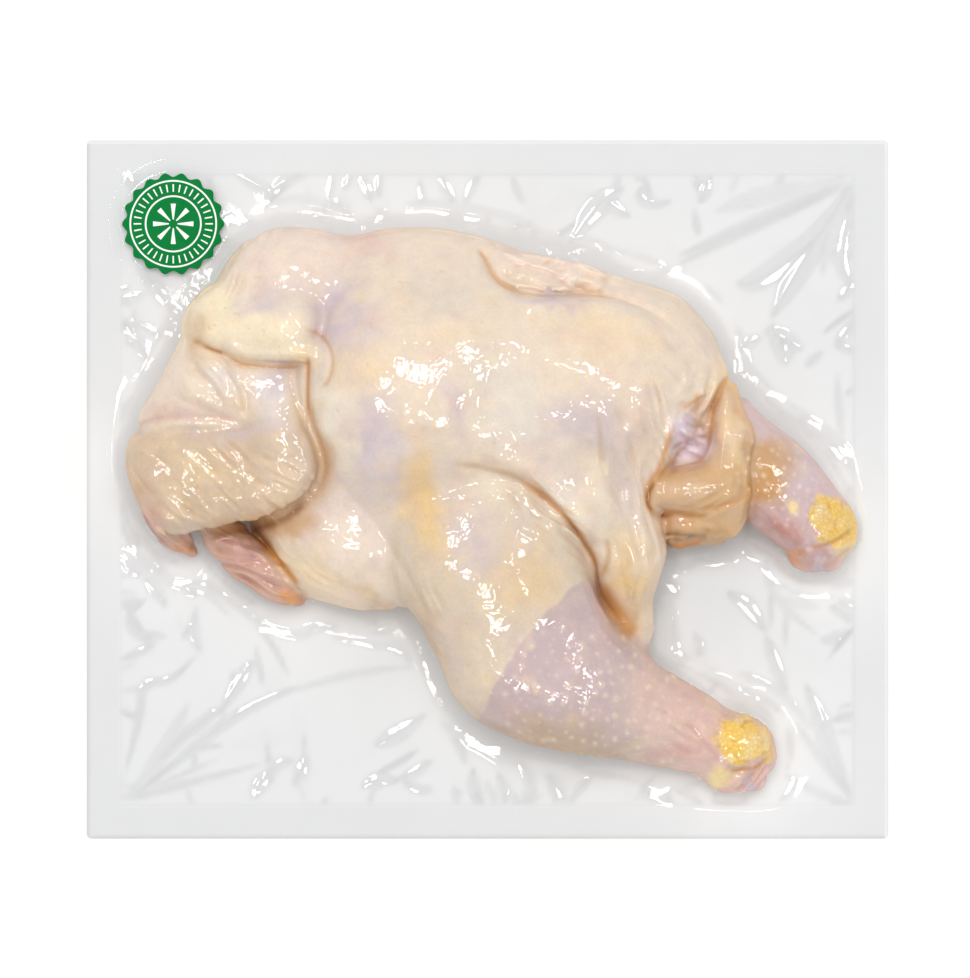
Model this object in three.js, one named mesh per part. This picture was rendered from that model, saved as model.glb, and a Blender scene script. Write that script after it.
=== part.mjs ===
// A whole raw chicken, sealed under vacuum in a clear plastic bag, lying on its back with one
// side turned up: neck end and folded wing at -X, the hocks of both legs at +X.
//
// The bag clings to the bird all over, so bag and bird together are one solid in the bird's form,
// with the flat web of film that runs from its sides out to the sealed edges of the bag.
// A round label is stuck on the film beside the shoulder.
//
// Millimetres, +Z up. The origin is the middle of the underside, where the pack rests.

import * as THREE from "three";

// ---------- Bag ----------
const BAG_LENGTH = 350;
const BAG_WIDTH = 305;
const CORNER_CUT = 0.6; // how far each corner of the bag is pulled in
const FILM_PAIR = 1; // thickness of the two films where they lie on each other
const WEB_HEIGHT = 9; // how high the two films meet at the bird's sides
const WEB_REACH = 8; // the distance over which the web sinks to a third of that
const WEB_FILLET = 5; // how softly the film leaves the bird
const SIDE_LEVEL = 14; // the level at which the distance to the bird's side counts
const STEEPEST = 3.6; // the steepest slope of the upper film, as rise over run
const EASING_PASSES = 2; // how often the upper film's bends are eased

// ---------- Label ----------
const LABEL_X = -137;
const LABEL_Y = 115.8;
const LABEL_RADIUS = 22.3; // to the tips of its scallops
const LABEL_THICKNESS = 0.4;
const LABEL_LIFT = 0.1; // glue under the label
const SCALLOPS = 18;
const SCALLOP_DEPTH = 1.8;
const SCALLOP_STEPS = 6; // straight pieces in each scallop
const LABEL_BED = 4; // height of the middle of the web under the label
const BED_MARGIN = 1.5; // flat film around the label
const BED_SLOPE = 12; // width of the ramp around that
const BED_EDGE = 4; // width of the ramp where the film comes down from the bird

// ---------- Bird ----------
const REST_ROUNDING = 3; // how softly the flesh turns in to the flat that it rests on
const RELIEF_FROM = 8; // creases fade out below this height ...
const RELIEF_FULL = 18; // ... and are at full depth above this one
const CREASE_ROUNDING = 0.5; // half width of a crease's round bottom
const TAPER_SHARE = 0.18; // share of a fold's length over which each end runs out
const CURVE_STEPS = 8; // straight pieces between two points of a fold
const OUTLINE_STEPS = 4; // straight pieces between two points of a slab's outline

// ---------- Mesh ----------
const CELLS = 256; // squares along each side of the finest grid, a power of two
const TOP_TOLERANCE = 0.5;
const UNDERSIDE_TOLERANCE = 1;
const LABEL_BED_CARE = 12; // how much finer the film is followed under the label
const SURFACE_TOLERANCE = 0.02;
const MOST_STEPS = 90;
const STEP_SHARE = 0.88; // share of the distance that one step along a column takes
const ABOVE_ALL = 100; // a level above the highest point
const BELOW_ALL = -4;

// Distance to a limb: a ball at each end and the tangent cone between them.
function limb(from, to, startRadius, endRadius) {
  const axis = new THREE.Vector3(...to).sub(new THREE.Vector3(...from));
  const length = axis.length();
  axis.divideScalar(length);
  const narrowing = (startRadius - endRadius) / length;
  const lean = narrowing / Math.sqrt(1 - narrowing * narrowing);
  const [fromX, fromY, fromZ] = from;
  return (x, y, z) => {
    const px = x - fromX;
    const py = y - fromY;
    const pz = z - fromZ;
    const along = px * axis.x + py * axis.y + pz * axis.z;
    const away = Math.sqrt(Math.max(px * px + py * py + pz * pz - along * along, 0));
    const foot = Math.min(Math.max(along + away * lean, 0), length);
    return Math.hypot(along - foot, away) - (startRadius - narrowing * foot);
  };
}

// Distance to an ellipsoid with the given radii, turned about Z by degrees.
function mass(at, radii, turn = 0) {
  const angle = THREE.MathUtils.degToRad(turn);
  const cos = Math.cos(angle);
  const sin = Math.sin(angle);
  const [rx, ry, rz] = radii;
  return (x, y, z) => {
    const px = x - at[0];
    const py = y - at[1];
    const ex = (px * cos + py * sin) / rx;
    const ey = (py * cos - px * sin) / ry;
    const ez = (z - at[2]) / rz;
    const size = Math.sqrt(ex * ex + ey * ey + ez * ez);
    const slope = Math.sqrt((ex / rx) ** 2 + (ey / ry) ** 2 + (ez / rz) ** 2);
    return (size * (size - 1)) / Math.max(slope, 1e-6);
  };
}

// Distance to a plate with round edges: the place and the tilt of its middle plane, half its
// thickness, the rounding of its edge and the points of its outline seen from above.
function slab(at, tilt, half, rounding, ...points) {
  const curve = new THREE.CatmullRomCurve3(
    points.map(([x, y]) => new THREE.Vector3(x, y, 0)),
    true,
    "catmullrom",
    0.5,
  );
  const corners = curve.getPoints(points.length * OUTLINE_STEPS).slice(1);
  const thinning = Math.hypot(1, ...tilt);
  return (x, y, z) => {
    const middle = at[2] + tilt[0] * (x - at[0]) + tilt[1] * (y - at[1]);
    const aside = outlineDistance(x, y, corners) + rounding;
    const above = Math.abs(z - middle) / thinning - half + rounding;
    const outer = Math.hypot(Math.max(aside, 0), Math.max(above, 0));
    return outer + Math.min(Math.max(aside, above), 0) - rounding;
  };
}

// Distance to a closed outline seen from above, negative inside.
function outlineDistance(x, y, corners) {
  let nearest = Infinity;
  let inside = false;
  corners.forEach((end, n) => {
    const start = corners.at(n - 1);
    const dx = end.x - start.x;
    const dy = end.y - start.y;
    const along = ((x - start.x) * dx + (y - start.y) * dy) / (dx * dx + dy * dy);
    const share = THREE.MathUtils.clamp(along, 0, 1);
    nearest = Math.min(nearest, Math.hypot(x - start.x - share * dx, y - start.y - share * dy));
    const spans = start.y > y !== end.y > y;
    if (spans && x < start.x + ((y - start.y) * dx) / dy) inside = !inside;
  });
  return inside ? -nearest : nearest;
}

// The bird's parts. The forms of a part melt into each other over "blend" millimetres,
// and the part melts into what is listed before it over "join".
const BIRD = [
  {
    name: "torso",
    join: 0,
    blend: 18,
    forms: [
      mass([-30, 44, 36], [56, 54, 47], -12), // near breast
      mass([-28, 78, 27], [58, 35, 28], -3), // far breast
      mass([-90, 52, 18], [30, 36, 18]), // neck end
      mass([-52, -8, 22], [46, 44, 27], -38), // flank
      mass([6, 44, 36], [46, 44, 43]), // keel
      mass([40, 44, 34], [52, 40, 44], -14), // abdomen
      mass([66, 54, 28], [36, 32, 31], -24), // far hip
      mass([-74, 22, 24], [24, 34, 20]), // side under the wing
    ],
  },
  { name: "shoulder", join: 8, blend: 8, forms: [mass([-84, 88, 30], [32, 25, 30], 8)] },
  {
    name: "far wing",
    join: 3,
    blend: 8,
    forms: [
      limb([6, 92, 42], [42, 87, 38], 9, 9.5),
      limb([-6, 95, 30], [28, 88, 28], 13, 11),
    ],
  },
  {
    name: "far thigh",
    join: 4,
    blend: 8,
    forms: [limb([40, 82, 26], [72, 68, 28], 15, 18)],
  },
  {
    name: "belly skin",
    join: 10,
    blend: 10,
    forms: [
      limb([12, 26, 58], [40, -2, 46], 16, 16),
      limb([40, -2, 44], [60, -32, 28], 17, 13),
      limb([60, -32, 28], [65, -60, 15], 13.5, 7),
      limb([48, -26, 32], [58, -58, 17], 12, 8),
      limb([64, 14, 42], [63, -22, 32], 13, 12.5),
    ],
  },
  {
    name: "thigh",
    join: 6,
    blend: 16,
    forms: [
      mass([-4, -18, 34], [42, 42, 33], -25),
      limb([-6, -34, 34], [8, -74, 30], 29, 27),
      limb([18, -22, 42], [29, -54, 34], 19, 21.5),
    ],
  },
  {
    name: "drumstick",
    join: 10,
    blend: 16,
    forms: [
      limb([20, -80, 28], [40, -84, 27], 27, 28),
      limb([38, -84, 27], [70, -98, 19], 27, 17.5),
      limb([66, -97, 20], [88, -105, 15], 17.5, 12.5),
      limb([86, -104, 15], [104, -112, 15], 12.5, 13),
    ],
  },
  {
    name: "hock",
    join: 4,
    blend: 5,
    forms: [
      mass([110, -110, 15.5], [15, 12.5, 12.5], -22),
      mass([104, -120, 13], [13, 10, 10], -15),
      limb([103, -125, 11], [106, -126, 11], 6, 5.5),
      limb([115, -125, 11], [116, -126, 11], 5.5, 5),
      limb([121, -117, 13], [121, -118, 12], 4, 4),
    ],
  },
  {
    name: "far drumstick",
    join: 4,
    blend: 16,
    forms: [
      limb([102, 21, 24], [124, 3, 20], 20.5, 16),
      limb([122, 4, 20], [136, -9, 16], 16, 13),
      limb([134, -8, 16], [143, -16, 15], 13, 13),
    ],
  },
  {
    name: "far hock",
    join: 4,
    blend: 5,
    forms: [
      mass([147, -15, 15.5], [14, 12, 12], -42),
      mass([141, -24, 13], [12, 10, 10], -35),
      limb([137, -29, 11], [139, -30, 11], 5.5, 5),
      limb([148, -29, 11], [149, -30, 11], 5.5, 5),
      limb([155, -21, 13], [155, -22, 12], 4.5, 4.5),
    ],
  },
  {
    name: "hip skin over the vent",
    join: 8,
    blend: 6,
    forms: [limb([76, 47, 43], [93, 47, 40], 10, 9.5)],
  },
  { name: "lining of the vent", join: 3, blend: 4, forms: [mass([86, 22, 30], [16, 18, 9])] },
  {
    name: "tail",
    join: 2.5,
    blend: 7,
    forms: [
      limb([100.5, 40, 40], [104, 22, 42], 7.5, 8.5), // flap beside the vent
      limb([104, 22, 42], [101, 3, 40], 8.5, 13),
      limb([86, 33, 40], [94, 30, 41], 3.5, 4.5),
      mass([87, 0, 42], [19, 10.5, 14], 4), // lobe below the vent
      limb([84, -13, 31], [98, -9, 32], 10, 14),
      limb([83, -19, 19], [95, -15, 20], 7, 11),
    ],
  },
  {
    name: "upper arm",
    join: 4,
    blend: 10,
    forms: [
      limb([-110, 70, 43], [-84, 69, 55], 16.5, 14.5),
      limb([-114, 74, 34], [-94, 80, 40], 13, 13),
      limb([-118, 66, 32], [-122, 46, 28], 13, 12),
    ],
  },
  {
    name: "skin curled round the elbow",
    join: 1.5,
    blend: 4,
    forms: [
      limb([-79, 61, 60], [-72, 57, 60], 6.5, 5.5),
      limb([-72, 57, 60], [-70.5, 48, 56], 5, 4),
    ],
  },
  {
    name: "forearm and its web",
    join: 2.5,
    blend: 12,
    forms: [
      limb([-89, 52, 42], [-88, 26, 46], 12, 13),
      limb([-108, 46, 38], [-130, 31, 30], 14, 13),
      mass([-112, 40, 35], [26, 19, 17]),
      mass([-118, 50, 32], [18, 22, 16]),
      limb([-128, 36, 28], [-140, 27, 26], 12, 11),
    ],
  },
  {
    name: "flat of the wing",
    join: 2,
    blend: 8,
    forms: [
      slab(
        [-113, 8, 35], [0.27, 0.08], 16, 11,
        [-152, 24], [-156, 12], [-153, 0], [-147, -12], [-139, -19], [-129, -18], [-112, -14],
        [-97, -12], [-83, -6], [-74, 2], [-71.5, 12], [-75, 24], [-86, 30], [-104, 28], [-130, 28],
      ),
      limb([-91, 8, 41], [-87, 20, 45], 12, 12.5),
      limb([-88, 34, 46], [-87, 16, 45], 12.5, 12.5),
    ],
  },
  {
    name: "wing tip",
    join: 2,
    blend: 3,
    forms: [
      mass([-103, -30, 14], [28, 11, 10], -41),
      limb([-90, -41, 10], [-82, -48, 7], 6, 3),
      mass([-138, -18, 13], [15, 7, 8], -42), // thumb
    ],
  },
];

// Folds of the skin, drawn over the bird from above: a ridge is raised by its height, a crease is
// sunk by its depth, and both fall away over their width.
const FOLDS = [
  // between thigh and belly, with the roll of skin above it
  crease(2, 5.5, [-15, 11], [-5, 9.5], [4, 7.5], [12, 5], [20, 0], [28, -6.5], [35, -14], [41, -22],
    [45.5, -30], [47, -37], [48.5, -45], [53, -52], [62, -63]),
  ridge(4.5, 2.4, [-4, 14], [8, 11], [18, 6], [27, -1], [35, -9], [42, -17], [47, -26]),
  crease(1.2, 2.4, [50.5, -20], [51.8, -27], [50.5, -33], [48, -39]),
  // long pleats of the belly skin
  crease(1.4, 1.3, [36, 8], [46, -4], [54, -20], [58, -38], [62, -56]),
  // the keel
  ridge(11, 1.6, [0, 66], [-8, 60], [-13, 48], [-20, 34], [-30, 18]),
  crease(5, 1.2, [12, 62], [2, 50], [-4, 36], [-2, 22]),
  // the skin's edge over the far wing and the far thigh
  crease(2, 4.5, [-5, 104], [-1.5, 99], [2, 92], [7, 87], [16, 83.6], [30, 83], [44, 83.5], [60, 80],
    [74, 73], [88, 60]),
  ridge(4, 2.5, [10, 78], [24, 79], [44, 79], [60, 75], [74, 68]),
  // the flank's edge beside the thigh
  crease(4, 1.6, [-66, 6], [-48, -15], [-38, -32], [-32, -50], [-24, -68]),
  // the skin's edge round the vent, and the folds of the tail
  ridge(2.6, 2.4, [70, -14], [71, 0], [75, 14], [79, 27], [85, 35]),
  crease(1.4, 3, [104, 49], [100.5, 45], [97.3, 38.5], [95.8, 31], [95.4, 24], [94, 15]),
  ridge(2, 1.6, [82, 36], [88, 40], [94, 42]),
  crease(1.4, 3, [71, 4], [68.5, -3], [69, -8], [73, -11.5], [80, -10], [88, -11.5], [98, -11]),
  crease(1.3, 2.4, [75, -19], [82, -19], [90, -20], [96, -17]),
  // the lip of the upper arm, the dimple under it and the folds that run into the dimple
  crease(1.4, 3.2, [-116, 60], [-111, 57.5], [-106, 54], [-98, 52.6], [-88, 52], [-77, 53]),
  ridge(2.4, 1.6, [-113, 63], [-106, 58.5], [-97, 56.5], [-86, 56.5], [-77, 58]),
  crease(2.4, 4, [-128, 66], [-123, 62], [-118, 59.5], [-111, 58], [-107, 55]),
  ridge(2.4, 1.2, [-128, 57], [-121, 55], [-113, 53]),
  crease(1.3, 2.2, [-112, 57], [-109, 51], [-105, 44], [-103, 36], [-102, 30]),
  ridge(2.2, 1.2, [-131, 52], [-128, 44], [-121, 38], [-111, 33]),
  // the creases over the flat of the wing
  crease(1.6, 2.6, [-156, 25], [-144, 29.5], [-131, 31], [-117, 30.5], [-103, 29]),
  ridge(2.2, 1.2, [-152, 22], [-142, 26], [-130, 28], [-116, 27.5], [-104, 26]),
  crease(1.8, 1.2, [-146, 33], [-134, 35], [-122, 36], [-110, 35]),
  // the gap between wing and breast
  crease(1.3, 7, [-76, 57], [-76.3, 51], [-76.5, 44], [-76.5, 34], [-74, 24]),
  crease(2.5, 5, [-77, 36], [-74, 26], [-70.5, 16], [-70, 8], [-74, 0], [-82, -7], [-92, -13]),
  // knuckles of the hocks
  crease(1.2, 1.6, [98, -101], [100, -109], [104, -116], [106, -122]),
  crease(1.2, 1.8, [104, -122], [110, -121], [116, -120], [123, -115]),
  crease(1.2, 1.6, [143, -4], [139, -12], [138, -20], [141, -26]),
  crease(1.2, 1.8, [138, -25], [145, -24], [152, -21], [159, -16]),
];

function ridge(width, height, ...points) {
  return { width, height, path: smoothPath(points), profile: (t) => Math.exp(-t * t) };
}

function crease(width, depth, ...points) {
  const bottom = CREASE_ROUNDING / width;
  const profile = (t) => Math.exp(-Math.hypot(t, bottom));
  return { width, height: -depth, path: smoothPath(points), profile };
}

// The straight pieces of a smooth curve through the points, each with its place along the curve.
function smoothPath(points) {
  const curve = new THREE.CatmullRomCurve3(
    points.map(([x, y]) => new THREE.Vector3(x, y, 0)),
    false,
    "catmullrom",
    0.5,
  );
  const count = (points.length - 1) * CURVE_STEPS;
  const corners = curve.getPoints(count);
  return corners.slice(1).map((end, i) => ({ start: corners[i], end, from: i / count }));
}

function smoothstep(value, low, high) {
  return THREE.MathUtils.smoothstep(value, low, high);
}

// The lesser of two distances, with the corner between them rounded over a width.
function softLesser(a, b, width) {
  const least = Math.min(a, b);
  if (width <= 0) return least;
  const overlap = Math.max(width - Math.abs(a - b), 0) / width;
  return least - (overlap * overlap * width) / 4;
}

function softGreater(a, b, width) {
  return -softLesser(-a, -b, width);
}

function birdWithoutFolds(x, y, z) {
  return BIRD.reduce((whole, part) => {
    const own = part.forms.reduce(
      (sum, form) => softLesser(sum, form(x, y, z), part.blend),
      Infinity,
    );
    return softLesser(whole, own, part.join);
  }, Infinity);
}

// How far the folds raise or sink the skin at a place seen from above.
function foldHeight(x, y) {
  let total = 0;
  for (const fold of FOLDS) {
    const reach = 4 * fold.width;
    let nearest = reach;
    let place = 0;
    for (const { start, end, from } of fold.path) {
      const dx = end.x - start.x;
      const dy = end.y - start.y;
      const along = ((x - start.x) * dx + (y - start.y) * dy) / (dx * dx + dy * dy);
      const share = THREE.MathUtils.clamp(along, 0, 1);
      const away = Math.hypot(x - start.x - share * dx, y - start.y - share * dy);
      if (away < nearest) {
        nearest = away;
        place = from + share / fold.path.length;
      }
    }
    if (nearest >= reach) continue;
    const taper = smoothstep(Math.min(place, 1 - place), 0, TAPER_SHARE);
    total += fold.height * taper * fold.profile(nearest / fold.width);
  }
  return total;
}

// Height of the middle of the web of film at a place seen from above.
function webHeight(x, y) {
  const away = Math.max(birdWithoutFolds(x, y, SIDE_LEVEL), 0);
  const free = FILM_PAIR / 2 + WEB_HEIGHT * Math.exp(-away / WEB_REACH);
  const fromLabel = Math.hypot(x - LABEL_X, y - LABEL_Y) - LABEL_RADIUS - BED_MARGIN;
  return THREE.MathUtils.lerp(LABEL_BED, free, smoothstep(fromLabel, 0, BED_SLOPE));
}

// Distance to the packed bird in the column at x, y.
function packInColumn(x, y) {
  const folds = foldHeight(x, y);
  const web = webHeight(x, y);
  return (z) => {
    const skin = birdWithoutFolds(x, y, z) - folds * smoothstep(z, RELIEF_FROM, RELIEF_FULL);
    const bird = softGreater(skin, -z, REST_ROUNDING);
    return softLesser(bird, Math.abs(z - web) - FILM_PAIR / 2, WEB_FILLET);
  };
}

// The first level at which a column meets the pack, from a start and in a direction, +1 or -1.
function meet(distance, start, direction) {
  let z = start;
  for (let step = 0; step < MOST_STEPS; step++) {
    const gap = distance(z);
    if (gap < SURFACE_TOLERANCE) break;
    z += direction * gap * STEP_SHARE;
  }
  return z;
}

const SIDE = CELLS + 1;
const indexOf = (i, j) => j * SIDE + i;
const xOf = (i) => (i / CELLS - 0.5) * BAG_LENGTH;
const yOf = (j) => (j / CELLS - 0.5) * BAG_WIDTH;

// Stretches the upper film off the bird where it would fall steeper than it can: each point is
// raised to within the steepest slope of its neighbours, in one sweep each way over the grid.
function stretch(heights) {
  const dx = BAG_LENGTH / CELLS;
  const dy = BAG_WIDTH / CELLS;
  const behind = [[-1, 0, dx], [0, -1, dy], [-1, -1, Math.hypot(dx, dy)], [1, -1, Math.hypot(dx, dy)]];
  for (const way of [1, -1]) {
    const order = Array.from({ length: SIDE }, (_, n) => (way > 0 ? n : CELLS - n));
    for (const j of order) {
      for (const i of order) {
        for (const [di, dj, distance] of behind) {
          const ni = i + way * di;
          const nj = j + way * dj;
          if (ni < 0 || ni > CELLS || nj < 0 || nj > CELLS) continue;
          const least = heights[indexOf(ni, nj)] - STEEPEST * distance;
          heights[indexOf(i, j)] = Math.max(heights[indexOf(i, j)], least);
        }
      }
    }
  }
}

// Eases the bends inside the film's edge: each point moves to the weighted mean of its neighbours.
function ease(heights) {
  const before = heights.slice();
  const at = (i, j) => before[indexOf(i, j)];
  const across = (i, j) => (at(i - 1, j) + 2 * at(i, j) + at(i + 1, j)) / 4;
  for (let j = 1; j < CELLS; j++) {
    for (let i = 1; i < CELLS; i++) {
      heights[indexOf(i, j)] = (across(i, j - 1) + 2 * across(i, j) + across(i, j + 1)) / 4;
    }
  }
}

// The label's stiff paper holds the upper film flat under it.
function flattenUnderLabel(heights) {
  for (let j = 0; j < SIDE; j++) {
    for (let i = 0; i < SIDE; i++) {
      const fromLabel = Math.hypot(xOf(i) - LABEL_X, yOf(j) - LABEL_Y) - LABEL_RADIUS - BED_MARGIN;
      const free = smoothstep(fromLabel, 0, BED_EDGE);
      const here = indexOf(i, j);
      heights[here] = THREE.MathUtils.lerp(LABEL_BED + FILM_PAIR / 2, heights[here], free);
    }
  }
}

// The heights of the upper and the lower film at every point of the finest grid.
// At the bag's edge both are half a film pair from the middle of the web.
function filmHeights() {
  const upper = new Float64Array(SIDE * SIDE);
  const lower = new Float64Array(SIDE * SIDE);
  for (let j = 0; j < SIDE; j++) {
    for (let i = 0; i < SIDE; i++) {
      const distance = packInColumn(xOf(i), yOf(j));
      upper[indexOf(i, j)] = meet(distance, ABOVE_ALL, -1);
      lower[indexOf(i, j)] = Math.max(meet(distance, BELOW_ALL, 1), 0);
    }
  }
  stretch(upper);
  for (let pass = 0; pass < EASING_PASSES; pass++) ease(upper);
  flattenUnderLabel(upper);
  return { upper, lower };
}

// How far the surface would be off at each grid point if the point were left out, or any finer
// point that hangs on it. Leaving out by this measure never opens a gap between triangles.
function costOfLeavingOut(heights) {
  const cost = new Float64Array(SIDE * SIDE);
  const spacingX = BAG_LENGTH / CELLS;
  const spacingY = BAG_WIDTH / CELLS;
  const costAt = (i, j) =>
    i < 0 || j < 0 || i > CELLS || j > CELLS ? 0 : cost[indexOf(i, j)];

  // The point (i, j) is the middle of the line from (i - di, j - dj) to (i + di, j + dj).
  function weigh(i, j, di, dj, finer) {
    const one = heights[indexOf(i - di, j - dj)];
    const other = heights[indexOf(i + di, j + dj)];
    const slope = (other - one) / (2 * Math.hypot(di * spacingX, dj * spacingY));
    const miss = Math.abs((one + other) / 2 - heights[indexOf(i, j)]) / Math.hypot(1, slope);
    const fromLabel = Math.hypot(xOf(i) - LABEL_X, yOf(j) - LABEL_Y);
    const care = fromLabel < LABEL_RADIUS + BED_MARGIN + BED_SLOPE / 2 ? LABEL_BED_CARE : 1;
    const hanging = finer.map(([oi, oj]) => costAt(i + oi, j + oj));
    cost[indexOf(i, j)] = Math.max(miss * care, ...hanging);
  }

  for (let step = 2; step <= CELLS; step *= 2) {
    const half = step / 2;
    const quarter = Math.floor(half / 2);
    const centres =
      quarter > 0
        ? [[quarter, quarter], [-quarter, quarter], [quarter, -quarter], [-quarter, -quarter]]
        : [];
    for (let j = 0; j <= CELLS; j += step) {
      for (let i = half; i < CELLS; i += step) {
        weigh(i, j, half, 0, centres);
        weigh(j, i, 0, half, centres);
      }
    }
    const sides = [[half, 0], [-half, 0], [0, half], [0, -half]];
    for (let j = half; j < CELLS; j += step) {
      for (let i = half; i < CELLS; i += step) {
        const turned = (Math.floor(i / step) + Math.floor(j / step)) % 2 === 1;
        weigh(i, j, half, turned ? -half : half, sides);
      }
    }
  }
  return cost;
}

// Right-angled triangles that follow the heights: a triangle is halved at the middle of its long
// side, from a to b, for as long as leaving that point out would cost more than the tolerance.
// They run anticlockwise seen from above.
function followHeights(heights, tolerance) {
  const cost = costOfLeavingOut(heights);
  const triangles = [];
  function halve(a, b, c) {
    const middle = [(a[0] + b[0]) / 2, (a[1] + b[1]) / 2];
    const splits = Number.isInteger(middle[0]) && Number.isInteger(middle[1]);
    if (splits && cost[indexOf(...middle)] > tolerance) {
      halve(c, a, middle);
      halve(b, c, middle);
    } else {
      triangles.push([a, c, b].map((corner) => indexOf(...corner)));
    }
  }
  halve([0, 0], [CELLS, CELLS], [CELLS, 0]);
  halve([CELLS, CELLS], [0, 0], [0, CELLS]);
  return triangles;
}

// The used grid points along the bag's four sides, anticlockwise, each with its place on the way.
function edgeOf(triangles) {
  const used = new Set(triangles.flat());
  const sides = [
    (n) => indexOf(n, 0),
    (n) => indexOf(CELLS, n),
    (n) => indexOf(CELLS - n, CELLS),
    (n) => indexOf(0, CELLS - n),
  ];
  return sides.map((pointAt) => {
    const steps = Array.from({ length: SIDE }, (_, n) => n);
    return steps.filter((n) => used.has(pointAt(n))).map((n) => ({ n, index: pointAt(n) }));
  });
}

// The thin wall along one side of the bag, between the edges of the lower and the upper film.
function wallBetween(lowerEdge, upperEdge, lowerVertex, upperVertex) {
  const wall = [];
  let low = 0;
  let high = 0;
  while (low < lowerEdge.length - 1 || high < upperEdge.length - 1) {
    const nextLow = lowerEdge[low + 1]?.n ?? Infinity;
    const nextHigh = upperEdge[high + 1]?.n ?? Infinity;
    const lowHere = lowerVertex(lowerEdge[low].index);
    const highHere = upperVertex(upperEdge[high].index);
    if (nextLow <= nextHigh) {
      low += 1;
      wall.push(lowHere, lowerVertex(lowerEdge[low].index), highHere);
    } else {
      high += 1;
      wall.push(lowHere, upperVertex(upperEdge[high].index), highHere);
    }
  }
  return wall;
}

// The closed surface of the pack: upper film, lower film and the wall around the bag's edge.
function packGeometry() {
  const { upper, lower } = filmHeights();
  const positions = [];

  // Gives each used point of a film its vertex, made when it is first asked for.
  function vertexMaker(heights) {
    const made = new Map();
    return (index) => {
      if (!made.has(index)) {
        const i = index % SIDE;
        const j = Math.floor(index / SIDE);
        const isCorner = (i === 0 || i === CELLS) && (j === 0 || j === CELLS);
        const pull = isCorner ? CORNER_CUT : 0;
        const x = xOf(i) - Math.sign(xOf(i)) * pull;
        const y = yOf(j) - Math.sign(yOf(j)) * pull;
        made.set(index, positions.length / 3);
        positions.push(x, y, heights[index]);
      }
      return made.get(index);
    };
  }

  const upperVertex = vertexMaker(upper);
  const lowerVertex = vertexMaker(lower);
  const upperTriangles = followHeights(upper, TOP_TOLERANCE);
  const lowerTriangles = followHeights(lower, UNDERSIDE_TOLERANCE);
  const lowerEdges = edgeOf(lowerTriangles);
  const walls = edgeOf(upperTriangles).map((upperEdge, side) =>
    wallBetween(lowerEdges[side], upperEdge, lowerVertex, upperVertex),
  );
  const faces = [
    ...upperTriangles.flat().map(upperVertex),
    ...lowerTriangles.flatMap(([a, b, c]) => [a, c, b]).map(lowerVertex),
    ...walls.flat(),
  ];
  const geometry = new THREE.BufferGeometry();
  geometry.setAttribute("position", new THREE.Float32BufferAttribute(positions, 3));
  geometry.setIndex(faces);
  geometry.computeVertexNormals();
  return geometry;
}

// A disc with a scalloped edge, standing on z = 0.
function labelGeometry() {
  const count = SCALLOPS * SCALLOP_STEPS;
  const outline = Array.from({ length: count }, (_, n) => {
    const angle = (2 * Math.PI * n) / count;
    const bulge = (1 + Math.cos(SCALLOPS * angle)) / 2;
    const radius = LABEL_RADIUS - SCALLOP_DEPTH * (1 - bulge);
    return new THREE.Vector2(radius * Math.cos(angle), radius * Math.sin(angle));
  });
  return new THREE.ExtrudeGeometry(new THREE.Shape(outline), {
    depth: LABEL_THICKNESS,
    bevelEnabled: false,
  });
}

const clearFilmOverSkin = new THREE.MeshStandardMaterial({
  color: "#ecd8b6",
  roughness: 0.25,
  metalness: 0,
});
const greenPaper = new THREE.MeshStandardMaterial({
  color: "#0f8540",
  roughness: 0.5,
  metalness: 0,
});

const pack = new THREE.Mesh(packGeometry(), clearFilmOverSkin);
pack.name = "packed_chicken";

const label = new THREE.Mesh(labelGeometry(), greenPaper);
label.name = "round_label";
label.position.set(LABEL_X, LABEL_Y, LABEL_BED + FILM_PAIR / 2 + LABEL_LIFT);

const wholePack = new THREE.Group();
wholePack.add(pack, label);

export default wholePack;
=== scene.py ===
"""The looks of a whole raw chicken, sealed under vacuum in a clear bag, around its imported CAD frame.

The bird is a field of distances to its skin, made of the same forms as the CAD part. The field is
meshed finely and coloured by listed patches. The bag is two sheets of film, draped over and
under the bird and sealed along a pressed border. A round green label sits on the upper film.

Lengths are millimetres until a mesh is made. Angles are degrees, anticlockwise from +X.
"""

import math

import bpy
import numpy as np
import openvdb
from mathutils import Matrix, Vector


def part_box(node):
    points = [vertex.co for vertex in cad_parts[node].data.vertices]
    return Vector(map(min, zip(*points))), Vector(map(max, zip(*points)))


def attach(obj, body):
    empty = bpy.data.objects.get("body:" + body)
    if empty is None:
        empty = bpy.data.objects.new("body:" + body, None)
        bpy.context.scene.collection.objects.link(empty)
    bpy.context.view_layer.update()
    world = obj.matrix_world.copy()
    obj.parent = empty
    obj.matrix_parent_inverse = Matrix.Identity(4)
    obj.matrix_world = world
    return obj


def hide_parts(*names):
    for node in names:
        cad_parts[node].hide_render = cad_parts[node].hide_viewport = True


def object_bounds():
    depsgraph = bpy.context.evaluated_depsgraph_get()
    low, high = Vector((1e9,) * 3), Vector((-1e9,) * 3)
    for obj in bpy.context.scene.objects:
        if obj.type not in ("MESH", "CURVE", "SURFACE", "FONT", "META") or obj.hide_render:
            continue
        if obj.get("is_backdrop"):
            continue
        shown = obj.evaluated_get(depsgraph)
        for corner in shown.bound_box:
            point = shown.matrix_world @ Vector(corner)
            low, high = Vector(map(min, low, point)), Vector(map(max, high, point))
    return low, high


MM = 0.001  # millimetres to metres

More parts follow.
